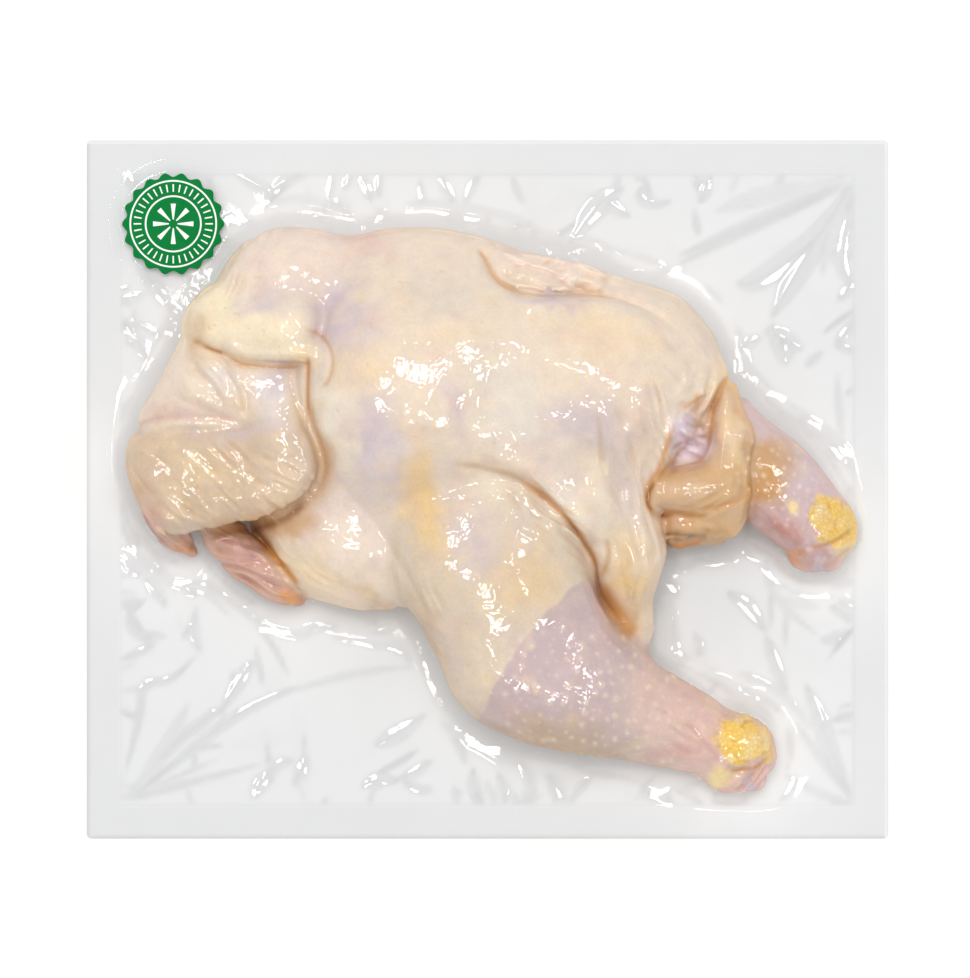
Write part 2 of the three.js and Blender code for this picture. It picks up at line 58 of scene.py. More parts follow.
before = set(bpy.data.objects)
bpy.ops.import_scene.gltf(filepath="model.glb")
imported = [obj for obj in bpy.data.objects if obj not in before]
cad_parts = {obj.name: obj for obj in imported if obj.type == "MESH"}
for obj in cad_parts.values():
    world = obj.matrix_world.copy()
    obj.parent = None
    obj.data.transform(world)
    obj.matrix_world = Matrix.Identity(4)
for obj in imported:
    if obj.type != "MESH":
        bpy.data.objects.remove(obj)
CAD_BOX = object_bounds()
BAG_LENGTH = (CAD_BOX[1][0] - CAD_BOX[0][0]) / MM
BAG_WIDTH = (CAD_BOX[1][1] - CAD_BOX[0][1]) / MM

# ---------- Fineness ----------
VOXEL = 0.85
BLOCK = 8  # voxels along a block, which is worked out whole or not at all
HALF_DIAGONAL = 0.9  # of a block, as a share of its edge
BLOCKS_AT_ONCE = 1500
BAND = 4  # voxels on each side of the skin in which the field holds distances
FILM_STEP = 0.75
BACK_FILM_STEP = 3  # steps of the upper film in one of the lower film

# ---------- Colours ----------
def linear(red, green, blue):
    """A colour on a scale of 255 as linear light."""
    values = np.array([red, green, blue]) / 255
    return np.where(values <= 0.04045, values / 12.92, ((values + 0.055) / 1.055) ** 2.4)


CREAM = linear(233, 215, 194)
PALE = linear(238, 226, 208)
YELLOW_FAT = linear(240, 215, 176)
LAVENDER = linear(206, 190, 198)
MILKY = linear(228, 218, 214)
GREY_SKIN = linear(216, 206, 192)
PINK = linear(224, 186, 176)
ROSE = linear(204, 150, 142)
PEACH = linear(236, 216, 200)
# Tan is the skin's own colour in some places and painted shade in others, marked where it is so used.
TAN = linear(204, 164, 118)
FAT_GOLD = linear(236, 200, 134)
ARM_SKIN = linear(244, 228, 198)
BARE_SKIN = linear(198, 176, 178)
SAGE = linear(230, 220, 202)
# Painted shade on the drumstick's lower side.
BEIGE_SHADE = linear(194, 166, 138)
BARE_PALE = linear(240, 222, 204)
LILAC = linear(242, 228, 242)
THIGH_SKIN = linear(222, 204, 182)
HOCK_YELLOW = linear(250, 210, 102)
HOCK_PALE = linear(250, 226, 156)
# Amber, umber and rust are painted shade in folds and under edges; amber is also the skin's own speckle and
# the hocks' tint.
AMBER = linear(206, 148, 74)
UMBER_SHADE = linear(150, 94, 42)
RUST_SHADE = linear(202, 130, 54)
VENT_LINING = linear(248, 234, 238)
WING_SKIN = linear(212, 188, 160)
WING_TIP = linear(206, 166, 146)
ORANGE = linear(220, 152, 92)
TAIL_FAT = linear(216, 178, 130)
MAUVE = linear(176, 138, 140)

# ---------- Bird ----------
FIELD_LOW = np.array([-164.0, -138.0, -4.0])
FIELD_HIGH = np.array([170.0, 130.0, 92.0])
SKIN_FLOOR = 0.6  # the flesh lies on the lower film at this height
REST_ROUNDING = 3.0  # of the edge where the flesh meets the lower film
MOST_RELIEF = 6.0  # folds raise or sink the skin by less than this
RELIEF_FROM, RELIEF_FULL = 8.0, 18.0  # heights from which on the folds show, and show in full
CREASE_ROUNDING = 0.5  # of a crease's bottom
TAPER_SHARE = 0.18  # share of a fold's length over which each of its ends fades
CURVE_STEPS = 8  # corners of a curve for each point that it runs through
TABLE_STEP = 1.0  # between the places where an outline's distances are worked out


def turned(x, y, at, turn):
    """Coordinates along and across a direction, from a place."""
    cos, sin = math.cos(math.radians(turn)), math.sin(math.radians(turn))
    px, py = x - at[0], y - at[1]
    return px * cos + py * sin, py * cos - px * sin


def between(table, i, j):
    """A table's values between its points."""
    i, j = (np.clip(index, 0, size - 1.001) for index, size in zip((i, j), table.shape))
    ix, iy = i.astype(int), j.astype(int)
    u, v = i - ix, j - iy
    near = table[ix, iy] * (1 - v) + table[ix, iy + 1] * v
    far = table[ix + 1, iy] * (1 - v) + table[ix + 1, iy + 1] * v
    return near * (1 - u) + far * u


def limb(start, end, start_radius, end_radius):
    """Distance to a ball at each end and the tangent cone between them."""
    axis = np.subtract(end, start)
    length = float(np.linalg.norm(axis))
    axis = axis / length
    narrowing = (start_radius - end_radius) / length
    lean = narrowing / math.sqrt(1 - narrowing**2)

    def distance(x, y, z):
        px, py, pz = x - start[0], y - start[1], z - start[2]
        along = px * axis[0] + py * axis[1] + pz * axis[2]
        away = np.sqrt(np.maximum(px * px + py * py + pz * pz - along * along, 0))
        foot = np.clip(along + away * lean, 0, length)
        return np.hypot(along - foot, away) - (start_radius - narrowing * foot)

    return distance


def mass(at, radii, turn=0):
    """Distance to an ellipsoid, turned about Z."""

    def distance(x, y, z):
        along, across = turned(x, y, at, turn)
        ex, ey, ez = along / radii[0], across / radii[1], (z - at[2]) / radii[2]
        size = np.sqrt(ex * ex + ey * ey + ez * ez)
        slope = np.sqrt((ex / radii[0]) ** 2 + (ey / radii[1]) ** 2 + (ez / radii[2]) ** 2)
        return size * (size - 1) / np.maximum(slope, 1e-6)

    return distance


def smooth_path(points):
    """Corners of a smooth curve through the points."""
    points = np.array(points, float)
    ends = np.vstack([2 * points[0] - points[1], points, 2 * points[-1] - points[-2]])
    corners = []
    for before, start, end, after in zip(ends, ends[1:], ends[2:], ends[3:]):
        t = np.linspace(0, 1, CURVE_STEPS, endpoint=False)[:, None]
        bend = 2 * before - 5 * start + 4 * end - after
        turn = 3 * start - before - 3 * end + after
        corners.append(start + 0.5 * ((end - before) * t + bend * t**2 + turn * t**3))
    return np.vstack([*corners, points[-1:]])


def from_segment(x, y, start, end):
    """Distance to a straight line, and how far along it its nearest place is, from 0 to 1."""
    step = end - start
    share = np.clip(((x - start[0]) * step[0] + (y - start[1]) * step[1]) / (step @ step), 0, 1)
    return np.hypot(x - start[0] - share * step[0], y - start[1] - share * step[1]), share


def along_path(x, y, path):
    """Distance to a path, and how far along it its nearest place is, from 0 to 1."""
    nearest = np.full(np.shape(x), np.inf)
    place = np.zeros(np.shape(x))
    for index, (start, end) in enumerate(zip(path, path[1:])):
        away, share = from_segment(x, y, start, end)
        closer = away < nearest
        nearest = np.where(closer, away, nearest)
        place = np.where(closer, (index + share) / (len(path) - 1), place)
    return nearest, place


def outline_distance(x, y, corners):
    """Distance to a closed outline seen from above, negative inside."""
    nearest = np.full(np.shape(x), np.inf)
    inside = np.zeros(np.shape(x), bool)
    for start, end in zip(corners, np.roll(corners, -1, 0)):
        nearest = np.minimum(nearest, from_segment(x, y, start, end)[0])
        if end[1] != start[1]:
            spans = (start[1] > y) != (end[1] > y)
            inside ^= spans & (x < start[0] + (y - start[1]) * (end[0] - start[0]) / (end[1] - start[1]))
    return np.where(inside, -nearest, nearest)


def around(x, y, corners, reach):
    """Which places lie in the box round a path or an outline, widened by a reach."""
    low, high = corners.min(0) - reach, corners.max(0) + reach
    return (x > low[0]) & (x < high[0]) & (y > low[1]) & (y < high[1])


def smooth_outline(points):
    """Corners of a smooth closed curve through the points."""
    points = np.array([*points[-2:], *points, *points[:2]], float)
    return smooth_path(points)[2 * CURVE_STEPS : -2 * CURVE_STEPS - 1]


def slab(at, tilt, half, rounding, *points):
    """Distance to a plate with round edges: its outline from above, the place and the tilt of its
    middle plane and half its thickness."""
    corners = smooth_outline(points)
    xs, ys = (np.arange(low, high, TABLE_STEP) for low, high in zip(FIELD_LOW, FIELD_HIGH[:2]))
    table = outline_distance(*np.meshgrid(xs, ys, indexing="ij"), corners)

    def distance(x, y, z):
        aside = between(table, (x - xs[0]) / TABLE_STEP, (y - ys[0]) / TABLE_STEP) + rounding
        middle = at[2] + tilt[0] * (x - at[0]) + tilt[1] * (y - at[1])
        above = np.abs(z - middle) / math.hypot(1, *tilt) - half + rounding
        outer = np.hypot(np.maximum(aside, 0), np.maximum(above, 0))
        return outer + np.minimum(np.maximum(aside, above), 0) - rounding

    return distance


# Each part: its name, its colour, over how many millimetres it melts into what is listed before it,
# over how many its own forms melt together, and the forms.
BIRD = [
    ("torso", CREAM, 0, 18, [
        mass((-30, 44, 36), (56, 54, 47), -12),  # near breast
        mass((-28, 78, 27), (58, 35, 28), -3),  # far breast
        mass((-90, 52, 18), (30, 36, 18)),  # neck end
        mass((-52, -8, 22), (46, 44, 27), -38),  # flank
        mass((6, 44, 36), (46, 44, 43)),  # keel
        mass((40, 44, 34), (52, 40, 44), -14),  # abdomen
        mass((66, 54, 28), (36, 32, 31), -24),  # far hip
        mass((-74, 22, 24), (24, 34, 20)),  # side under the wing
        limb((-96, -15, 8), (-77, -36, 10), 6, 7),  # skin beside the wing tip
    ]),
    ("shoulder", PEACH, 8, 8, [mass((-84, 88, 30), (32, 25, 30), 8)]),
    ("far wing", PEACH, 3, 8, [
        limb((6, 92, 42), (42, 87, 38), 9, 9.5),
        limb((-6, 95, 30), (28, 88, 28), 13, 11),
    ]),
    ("far thigh", PALE, 4, 8, [limb((40, 82, 26), (72, 68, 28), 15, 18)]),
    ("belly skin", CREAM, 10, 10, [
        limb((12, 26, 58), (40, -2, 46), 16, 16),
        limb((40, -2, 44), (60, -32, 28), 17, 13),
        limb((60, -32, 28), (65, -60, 15), 13.5, 7),
        limb((48, -26, 32), (58, -58, 17), 12, 8),
        limb((64, 14, 42), (63, -22, 32), 13, 12.5),
    ]),
    ("thigh", THIGH_SKIN, 6, 16, [
        mass((-4, -18, 34), (42, 42, 33), -25),
        limb((-6, -34, 34), (8, -74, 30), 29, 27),
        limb((18, -22, 42), (29, -54, 34), 19, 21.5),
    ]),
    ("drumstick", CREAM, 10, 16, [
        limb((20, -80, 28), (40, -84, 27), 27, 28),
        limb((38, -84, 27), (70, -98, 19), 27, 17.5),
        limb((66, -97, 20), (88, -105, 15), 17.5, 12.5),
        limb((86, -104, 15), (104, -112, 15), 12.5, 13),
    ]),
    ("hock", PINK, 4, 5, [
        mass((110, -110, 15.5), (15, 12.5, 12.5), -22),
        mass((104, -120, 13), (13, 10, 10), -15),
        limb((103, -125, 11), (106, -126, 11), 6, 5.5),
        limb((115, -125, 11), (116, -126, 11), 5.5, 5),
        limb((121, -117, 13), (121, -118, 12), 4, 4),
    ]),
    ("far drumstick", (PINK + LAVENDER) / 2, 4, 16, [
        limb((102, 21, 24), (124, 3, 20), 20.5, 16),
        limb((122, 4, 20), (136, -9, 16), 16, 13),
        limb((134, -8, 16), (143, -16, 15), 13, 13),
    ]),
    ("far hock", PINK, 4, 5, [
        mass((147, -15, 15.5), (14, 12, 12), -42),
        mass((141, -24, 13), (12, 10, 10), -35),
        limb((137, -29, 11), (139, -30, 11), 5.5, 5),
        limb((148, -29, 11), (149, -30, 11), 5.5, 5),
        limb((155, -21, 13), (155, -22, 12), 4.5, 4.5),
    ]),
    ("hip skin", YELLOW_FAT, 8, 6, [limb((76, 47, 43), (93, 47, 40), 10, 9.5)]),
    ("vent", VENT_LINING, 3, 4, [mass((86, 22, 30), (16, 18, 9))]),
    ("tail", TAIL_FAT, 2.5, 7, [
        limb((100.5, 40, 40), (104, 22, 42), 7.5, 8.5),
        limb((104, 22, 42), (101, 3, 40), 8.5, 13),
        limb((86, 33, 40), (94, 30, 41), 3.5, 4.5),
        mass((87, 0, 42), (19, 10.5, 14), 4),
        limb((84, -13, 31), (98, -9, 32), 10, 14),
        limb((83, -19, 19), (95, -15, 20), 7, 11),
    ]),
    ("upper arm", ARM_SKIN, 4, 10, [
        limb((-110, 70, 43), (-84, 69, 55), 16.5, 14.5),
        limb((-114, 74, 34), (-94, 80, 40), 13, 13),
        limb((-118, 66, 32), (-122, 46, 28), 13, 12),
    ]),
    ("elbow curl", YELLOW_FAT, 1.5, 4, [
        limb((-79, 61, 60), (-72, 57, 60), 6.5, 5.5),
        limb((-72, 57, 60), (-70.5, 48, 56), 5, 4),
    ]),
    ("forearm", CREAM, 2.5, 12, [
        limb((-89, 52, 42), (-88, 26, 46), 12, 13),
        limb((-108, 46, 38), (-130, 31, 30), 14, 13),
        mass((-112, 40, 35), (26, 19, 17)),
        mass((-118, 50, 32), (18, 22, 16)),
        limb((-128, 36, 28), (-140, 27, 26), 12, 11),
    ]),
    ("wing flat", WING_SKIN, 2, 8, [
        slab(
            (-113, 8, 35), (0.27, 0.08), 16, 11,
            (-152, 24), (-156, 12), (-153, 0), (-147, -12), (-139, -19), (-129, -18), (-112, -14),
            (-97, -12), (-83, -6), (-74, 2), (-71.5, 12), (-75, 24), (-86, 30), (-104, 28), (-130, 28),
        ),
        limb((-91, 8, 41), (-87, 20, 45), 12, 12.5),
        limb((-88, 34, 46), (-87, 16, 45), 12.5, 12.5),
    ]),
    ("wing tip", WING_TIP, 2, 3, [
        mass((-103, -30, 17), (28, 10.5, 11), -41),
        limb((-94, -38, 15), (-82.5, -47.5, 11), 8, 3.5),
        mass((-139, -17, 13), (14, 6, 8), -42),  # thumb
        limb((-136, -20, 12), (-128.5, -27, 9), 5, 2.5),
    ]),
]


def ridge(width, height, *points):
    """A raised fold: its height, its width, its path and its profile across."""
    return height, width, smooth_path(points), lambda t: np.exp(-t * t)


def crease(width, depth, *points):
    """A sunk fold, as a ridge is written, with a narrow bottom."""
    bottom = CREASE_ROUNDING / width
    return -depth, width, smooth_path(points), lambda t: np.exp(-np.hypot(t, bottom))


FOLDS = [
    # between the wing tip and the skin beside it
    crease(1.1, 2.4, (-106, -15), (-98, -22), (-90, -31), (-82, -41)),
    # under the far hock
    crease(1.0, 1.4, (136, -24), (143, -27), (150, -31)),
    crease(1.0, 1.2, (146, -21), (150, -25), (154, -28)),
    # over the tip of the keel
    ridge(3.0, 1.0, (-18, 54), (-14, 60), (-9, 64), (0, 63.5), (8, 62)),
    # between thigh and belly, the roll of skin above it and the pleats beside it
    crease(1.6, 1.8, (-16, 11), (-5, 9.5), (4, 7.5), (12, 5), (20, 0), (28, -6.5)),
    crease(1.8, 4.5, (8, 6), (20, 0), (28, -6.5), (35, -14), (41, -22), (45.5, -30), (47, -37), (48.5, -45),
           (53, -52), (62, -63)),
    ridge(4.5, 2.4, (-4, 14), (8, 11), (18, 6), (27, -1), (35, -9), (42, -17), (47, -26)),
    crease(1.2, 2.4, (50.5, -20), (51.8, -27), (50.5, -33), (48, -39)),
    crease(1.1, 1.4, (20, -5), (29, -12), (37, -22), (43, -31), (46.5, -40)),
    crease(1.1, 1.3, (14, -10), (24, -16), (33, -24), (41, -33), (46, -42)),
    crease(1.1, 1.1, (12, -17), (23, -23), (33, -30), (41, -38)),
    crease(1.1, 0.9, (16, -24), (26, -29), (35, -36), (43, -43)),
    # long pleats of the belly skin
    crease(1.4, 1.3, (36, 8), (46, -4), (54, -20), (58, -38), (62, -56)),
    crease(1.2, 1.0, (46, 12), (56, -4), (63, -22), (66, -42)),
    ridge(2.0, 1.0, (52, 24), (60, 6), (67, -12), (69, -34)),
    crease(1.2, 0.9, (60, 40), (66, 22), (69, 4), (71, -14)),
    # the keel
    ridge(11, 1.6, (0, 66), (-8, 60), (-13, 48), (-20, 34), (-30, 18)),
    crease(5, 1.2, (12, 62), (2, 50), (-4, 36), (-2, 22)),
    # the skin's edge over the far wing and the far thigh
    crease(2, 4.5, (-5, 104), (-1.5, 99), (2, 92), (7, 87), (16, 83.6), (30, 83), (44, 83.5), (60, 80),
           (74, 73), (88, 60)),
    ridge(4, 2.5, (10, 78), (24, 79), (44, 79), (60, 75), (74, 68)),
    crease(1.6, 1.2, (14, 96), (28, 92), (42, 88)),
    crease(1.4, 1.0, (24, 98), (40, 94), (56, 87)),
    # the flank's edge beside the thigh
    crease(4, 1.6, (-66, 6), (-48, -15), (-38, -32), (-32, -50), (-24, -68)),
    crease(2.5, 1.0, (-94, -16), (-80, -30), (-62, -44), (-40, -56)),
    # the skin's edge round the vent, and the folds of the tail
    ridge(2.6, 2.4, (70, -14), (71, 0), (75, 14), (79, 27), (85, 35)),
    crease(1.4, 3, (104, 49), (100.5, 45), (97.3, 38.5), (95.8, 31), (95.4, 24), (94, 15)),
    ridge(2, 1.6, (82, 36), (88, 40), (94, 42)),
    crease(1.2, 1.8, (86, 55), (88, 47), (87, 39)),
    crease(1.2, 1.6, (95, 53), (94.5, 46), (92, 40)),
    crease(1.3, 1.2, (105, 38), (106.5, 28), (106, 16)),
    # folds of the lining
    ridge(1.4, 1.0, (77, 22), (83, 25), (89, 23), (94, 25)),
    ridge(1.2, 0.9, (81, 31), (84, 25), (85, 17)),
    crease(1.0, 0.9, (78, 17), (84, 20), (92, 18)),
    crease(0.9, 0.9, (84, 29), (88, 27), (93, 27)),
    crease(1.4, 2.2, (71, 4), (68.5, -3), (69, -8), (73, -11.5), (80, -10), (88, -11.5), (98, -11)),
    crease(1.1, 1.4, (90, -9), (98, -7), (106, -5), (112, -1)),
    crease(1.1, 1.2, (92, -4), (99, -2), (106, 2), (111, 8)),
    crease(1.3, 2.4, (75, -19), (82, -19), (90, -20), (96, -17)),
    crease(1.0, 1.4, (79, -14), (86, -15), (92, -14), (100, -15)),
    # the lip of the upper arm, the dimple under it and the folds that run into the dimple
    crease(1.2, 2.2, (-116, 60), (-111, 57.5), (-106, 54), (-98, 52.6), (-88, 52), (-77, 53)),
    ridge(2.4, 1.6, (-113, 63), (-106, 58.5), (-97, 56.5), (-86, 56.5), (-77, 58)),
    crease(1.6, 2.2, (-125, 64), (-121, 61.5), (-117, 59.5), (-111, 58)),
    crease(1.0, 1.8, (-79, 68), (-72, 66), (-67, 60.5), (-65.5, 53), (-67.5, 46), (-72, 42)),
    ridge(2.4, 1.2, (-128, 57), (-121, 55), (-113, 53)),
    crease(1.3, 2.2, (-112, 57), (-109, 51), (-105, 44), (-103, 36), (-102, 30)),
    ridge(1.6, 1.4, (-114, 52), (-110, 46), (-107, 39), (-105, 33)),
    crease(1.4, 1.6, (-125, 57), (-124, 50), (-119, 43), (-112, 37)),
    ridge(2.2, 1.2, (-131, 52), (-128, 44), (-121, 38), (-111, 33)),
    crease(1.4, 1.2, (-137, 42), (-130, 38), (-121, 34), (-110, 31)),
    # the creases over the flat of the wing
    crease(1.6, 2.6, (-156, 25), (-144, 29.5), (-131, 31), (-117, 30.5), (-103, 29)),
    ridge(2.2, 1.2, (-152, 22), (-142, 26), (-130, 28), (-116, 27.5), (-104, 26)),
    crease(1.8, 1.2, (-146, 33), (-134, 35), (-122, 36), (-110, 35)),
    # the gap between wing and breast
    crease(1.1, 3, (-76, 57), (-76.3, 51), (-76.5, 44), (-76.5, 34), (-74, 24)),
    crease(2, 2.4, (-77, 36), (-74, 26), (-70.5, 16), (-70, 8), (-74, 0), (-82, -7), (-92, -13)),
    # roots of the feathers along the wing tip
    crease(1.0, 1.4, (-120, -19), (-112, -26), (-103, -32), (-92, -38), (-84, -43)),
    crease(0.9, 1.2, (-115, -17), (-107, -22), (-98, -27), (-90, -33)),
    crease(0.9, 1.2, (-118, -26), (-109, -34), (-99, -40), (-88, -46)),
    # knuckles of the hocks
    crease(1.2, 1.6, (98, -101), (100, -109), (104, -116), (106, -122)),
    crease(1.2, 1.8, (104, -122), (110, -121), (116, -120), (123, -115)),
    crease(1.2, 2.0, (110, -131), (111, -126), (114, -121)),
    crease(1.0, 1.2, (99, -128), (102, -122), (105, -118)),
    crease(1.2, 1.6, (143, -4), (139, -12), (138, -20), (141, -26)),
    crease(1.2, 1.8, (138, -25), (145, -24), (152, -21), (159, -16)),
    crease(1.2, 2.0, (142, -36), (144, -31), (147, -26)),
    crease(1.0, 1.2, (133, -28), (137, -25), (141, -23)),
]

# Fine pleats: a patch of skin with its radii and its turn, the direction in which they run, how far
# apart and how high they are.
PLEATS = [
    ((58, 0), (16, 48), 12, -78, 3.2, 0.9),
    ((70, 26), (13, 26), 10, -72, 3.0, 1.0),
    ((84, 54), (20, 14), -35, -50, 3.4, 0.8),
    ((32, -20), (24, 13), -52, -50, 3.0, 0.9),
    ((66, -46), (8, 26), 8, 80, 3.0, 0.7),
    ((-116, 46), (18, 13), 20, -54, 3.4, 1.1),
    ((-132, 34), (20, 7), 12, 14, 2.8, 0.8),
    ((-122, 4), (40, 24), 4, -42, 2.8, 0.8),
    ((-108, -10), (34, 12), 4, -52, 2.6, 1.0),
    ((-86, 4), (17, 20), 0, -28, 2.6, 0.9),
    ((-102, -31), (30, 13), -40, -24, 3.0, 2.2),
    ((-138, -18), (17, 9), -42, -42, 2.4, 1.4),
    ((-112, 86), (14, 12), 20, 70, 2.8, 0.6),
    ((-96, 108), (12, 12), 20, 62, 2.8, 0.6),
    ((26, 92), (32, 10), -8, -24, 3.4, 1.6),
    ((30, 92), (28, 9), -8, 38, 3.8, 0.8),
    ((106, 16), (9, 34), 0, 84, 3.4, 0.5),
    ((89, 42), (14, 12), 0, 66, 3.2, 1.4),
    ((86, 22), (11, 13), 0, -30, 2.8, 1.0),
    ((97, -4), (18, 12), 10, 32, 3.2, 0.5),
    ((88, -17), (16, 7), 8, 12, 3.0, 0.6),
    ((84, -106), (22, 15), -22, -30, 2.6, 0.9),
    ((126, -8), (16, 12), -46, -50, 3.0, 0.6),
    ((110, -124), (18, 10), -15, 50, 3.2, 1.3),
    ((146, -27), (15, 10), -30, 40, 3.2, 1.3),
    ((-30, -50), (16, 26), 24, -62, 3.6, 0.5),
    ((40, 60), (46, 18), -14, -16, 3.8, 0.22),
    ((28, -8), (26, 8), -40, -38, 2.6, 0.8),
    ((20, -12), (22, 9), -38, -38, 2.4, 0.7),
    ((-72, -36), (34, 12), -36, -34, 3.4, 0.4),
]
PLEAT_STRETCH = 5.0  # how much longer a pleat is than it is wide
PLEAT_EDGE = 0.45  # share of a patch over which its pleats fade out

# Roots of feathers: the colour, a patch with its radii and its turn, how far apart the round bumps
# in it are, their radius and their height.
FOLLICLE_EDGE = 0.6  # share of a patch over which its bumps fade out
FOLLICLES = [
    (linear(242, 224, 200), (46, -90), (66, 42), -22, 5.2, 1.2, 1.0),
    (linear(238, 206, 150), (-120, 6), (42, 24), -32, 3.4, 0.8, 0.35),
    (linear(246, 226, 202), (126, 2), (32, 22), -46, 4.6, 1.0, 0.6),
    (linear(244, 216, 160), (-20, -34), (22, 34), 20, 5.5, 0.9, 0.2),
    (linear(248, 230, 196), (-112, 74), (24, 14), 10, 5.0, 0.9, 0.2),
]

# Openings, seen from above: how deep, over how many millimetres the edge falls, and the outline.
OPENINGS = [
    (1.3, 2.5, (82, 33), (78.5, 27), (77.5, 20), (80, 14), (86, 12), (92, 13), (94.5, 19), (93, 25),
     (87, 30)),
    (1.2, 2.4, (79, -17.5), (85, -18.5), (92, -18), (94, -20), (91, -22.5), (84, -23.5), (79.5, -22)),
]

# ---------- Bag ----------
WEB_BASE = 0.5  # height of the flat web over the floor
WEB_HEIGHT = 9.0  # how much higher it stands at the bird's side
WEB_REACH = 6.0  # how far off the bird that height has fallen to a third
WEB_CRUMPLE = 0.25  # share by which that height varies
WAVE_HEIGHT, CRUMPLE_HEIGHT = 0.14, 0.02  # of the film's broad waves and of its fine creases
LOWER_SHARE = 0.5  # share of the folds' height that the lower film takes up
SPREAD_REACH = 22.0  # over which the web, left untinted beside the bird as painted light over its shadow, takes up the film's tint
SIDE_LEVEL = 14.0  # the height at which the bird's side is judged
CLING = 0.35  # from the skin to the film
FILM_GAP = 0.3  # between the two films where they lie on each other
STEEPEST = 3.6  # greatest slope of the film
NO_SKIN = 50.0  # stands for the lowest level of the skin where there is no skin
LOWER_LIFT = 60.0  # keeps the lower film's turned heights above 0 while they are stretched
SEAL_WIDTH = 13.5
CORNER_RADIUS = 2.0
BAG_FLOOR = 0.05
RIB_SPACING = 2.6  # of the seal's diagonal ribs
FRONT_TINT, SEAL_TINT, BACK_TINT = (0.952, 0.954, 0.957), (0.935, 0.937, 0.941), (0.95, 0.952, 0.955)
CREASE_SHADE = 0.93  # painted shade: what a crease lets through of what flat film does
MOST_GLOSS = 0.15  # at grazing angles the film still reflects no more than this
SKIN_GLOSS, WEB_GLOSS = 0.64, 0.2  # shares of that gloss on the skin and between bird and seal
SEAL_BEAD, BEAD_WIDTH = 0.06, 0.7  # of the bead along the seal's inner edge
CUT_EDGE = 0.6  # width of the painted shadow line along the bag's cut edge
LABEL_MARGIN = 1.0  # the film lies level under the label and so far round it
LABEL_FADE = 5.0  # over which it then takes up its own height
LABEL_GAP = 0.1  # from the film to the label


# ---------- Noise ----------
def lattice_value(ix, iy, iz, seed):
    """A number from -1 to 1 for each lattice point, always the same for the same point and seed."""
    mixed = ix * 73856093 ^ iy * 19349663 ^ iz * 83492791 ^ seed * 60493
    mixed = (mixed ^ mixed >> 13) * 1274126177 & 0x7FFFFFFF
    return ((mixed ^ mixed >> 15) & 0xFFFF) / 32767.5 - 1.0


def noise(x, y, z, seed):
    """Smooth noise from -1 to 1 with bumps one unit across."""
    corners = [np.floor(np.asarray(c, float)).astype(np.int64) for c in (x, y, z)]
    shares = [c - base for c, base in zip((x, y, z), corners)]
    eased = [t * t * (3 - 2 * t) for t in shares]
    total = 0.0
    for dx in (0, 1):
        for dy in (0, 1):
            for dz in (0, 1):
                weight = 1.0
                for step, t in zip((dx, dy, dz), eased):
                    weight = weight * (t if step else 1 - t)
                total = total + weight * lattice_value(
                    corners[0] + dx, corners[1] + dy, corners[2] + dz, seed
                )
    return total


def layered(x, y, z, seed, layers):
    """Noise with finer and fainter layers added."""
    total = 0.0
    for layer in range(layers):
        scale = 2.0**layer
        total = total + noise(x * scale, y * scale, z * scale, seed + layer) / scale
    return total


def ripples(x, y, size, seed, level=0):
    """Noise over a sheet, with bumps of a size in millimetres."""
    return layered(x / size, y / size, level, seed, 2)


def smoothstep(value, low, high):
    t = np.clip((value - low) / (high - low), 0, 1)
    return t * t * (3 - 2 * t)


def patch(x, y, at, radii, turn, edge):
    """1 inside an ellipse, falling to 0 at its rim over a share of its radius."""
    along, across = turned(x, y, at, turn)
    return 1 - smoothstep(np.hypot(along / radii[0], across / radii[1]), 1 - edge, 1)


# ---------- The field of the bird ----------
def soft_lesser(a, b, width):
    if width <= 0:
        return np.minimum(a, b)
    overlap = np.maximum(width - np.abs(a - b), 0) / width
    return np.minimum(a, b) - overlap * overlap * width / 4


def part_distance(part, x, y, z):
    *_, blend, forms = part
    own = forms[0](x, y, z)
    for form in forms[1:]:
        own = soft_lesser(own, form(x, y, z), blend)
    return own


def bird_without_folds(x, y, z):
    whole = part_distance(BIRD[0], x, y, z)
    for part in BIRD[1:]:
        whole = soft_lesser(whole, part_distance(part, x, y, z), part[2])
    return whole


def tapered(place):
    """1 along a fold, falling to 0 at its ends."""
    return smoothstep(np.minimum(place, 1 - place), 0, TAPER_SHARE)


def fold_height(x, y):
    """How far the folds raise or sink the skin at places seen from above."""
    total = np.zeros(np.shape(x))
    for height, width, path, profile in FOLDS:
        reach = 4 * width
        near = around(x, y, path, reach)
        nearest, place = along_path(x[near], y[near], path)
        total[near] += np.where(nearest < reach, height * tapered(place) * profile(nearest / width), 0)
    return total


def pleat_height(x, y):
    """Fine pleats, each patch in its own direction."""
    total = np.zeros(np.shape(x))
    for number, (at, radii, turn, run, spacing, height) in enumerate(PLEATS):
        inside = patch(x, y, at, radii, turn, PLEAT_EDGE)
        along, across = turned(x, y, at, run)
        wander = noise(along / 14, across / 14, number, 5) * 0.6
        wave = noise(along / (spacing * PLEAT_STRETCH), across / spacing + wander, number, 7)
        total += inside * height * (1 - 2 * np.abs(wave))
    return total


def follicle_bumps(x, y):
    """For each patch of feather roots: its colour, the height of its bumps, and where they are, from
    0 to 1."""
    for number, (colour, at, radii, turn, spacing, radius, height) in enumerate(FOLLICLES):
        inside = patch(x, y, at, radii, turn, FOLLICLE_EDGE)
        u, v = (c / spacing for c in turned(x, y, at, turn))
        bump = np.zeros(np.shape(x))
        for dv in (-1, 0, 1):
            iv = np.floor(v).astype(np.int64) + dv
            offset = 0.5 * (iv % 2)
            for du in (-1, 0, 1):
                iu = np.floor(u - offset).astype(np.int64) + du
                cu = iu + offset + 0.5 + 0.36 * lattice_value(iu, iv, 0, 81 + number)
                cv = iv + 0.5 + 0.36 * lattice_value(iu, iv, 0, 91 + number)
                size = 0.75 + 0.3 * lattice_value(iu, iv, 0, 101 + number)
                away = np.hypot(u - cu, v - cv) * spacing / radius
                bump = np.maximum(bump, size * np.exp(-((away / size) ** 2)))
        yield colour, height, bump * inside


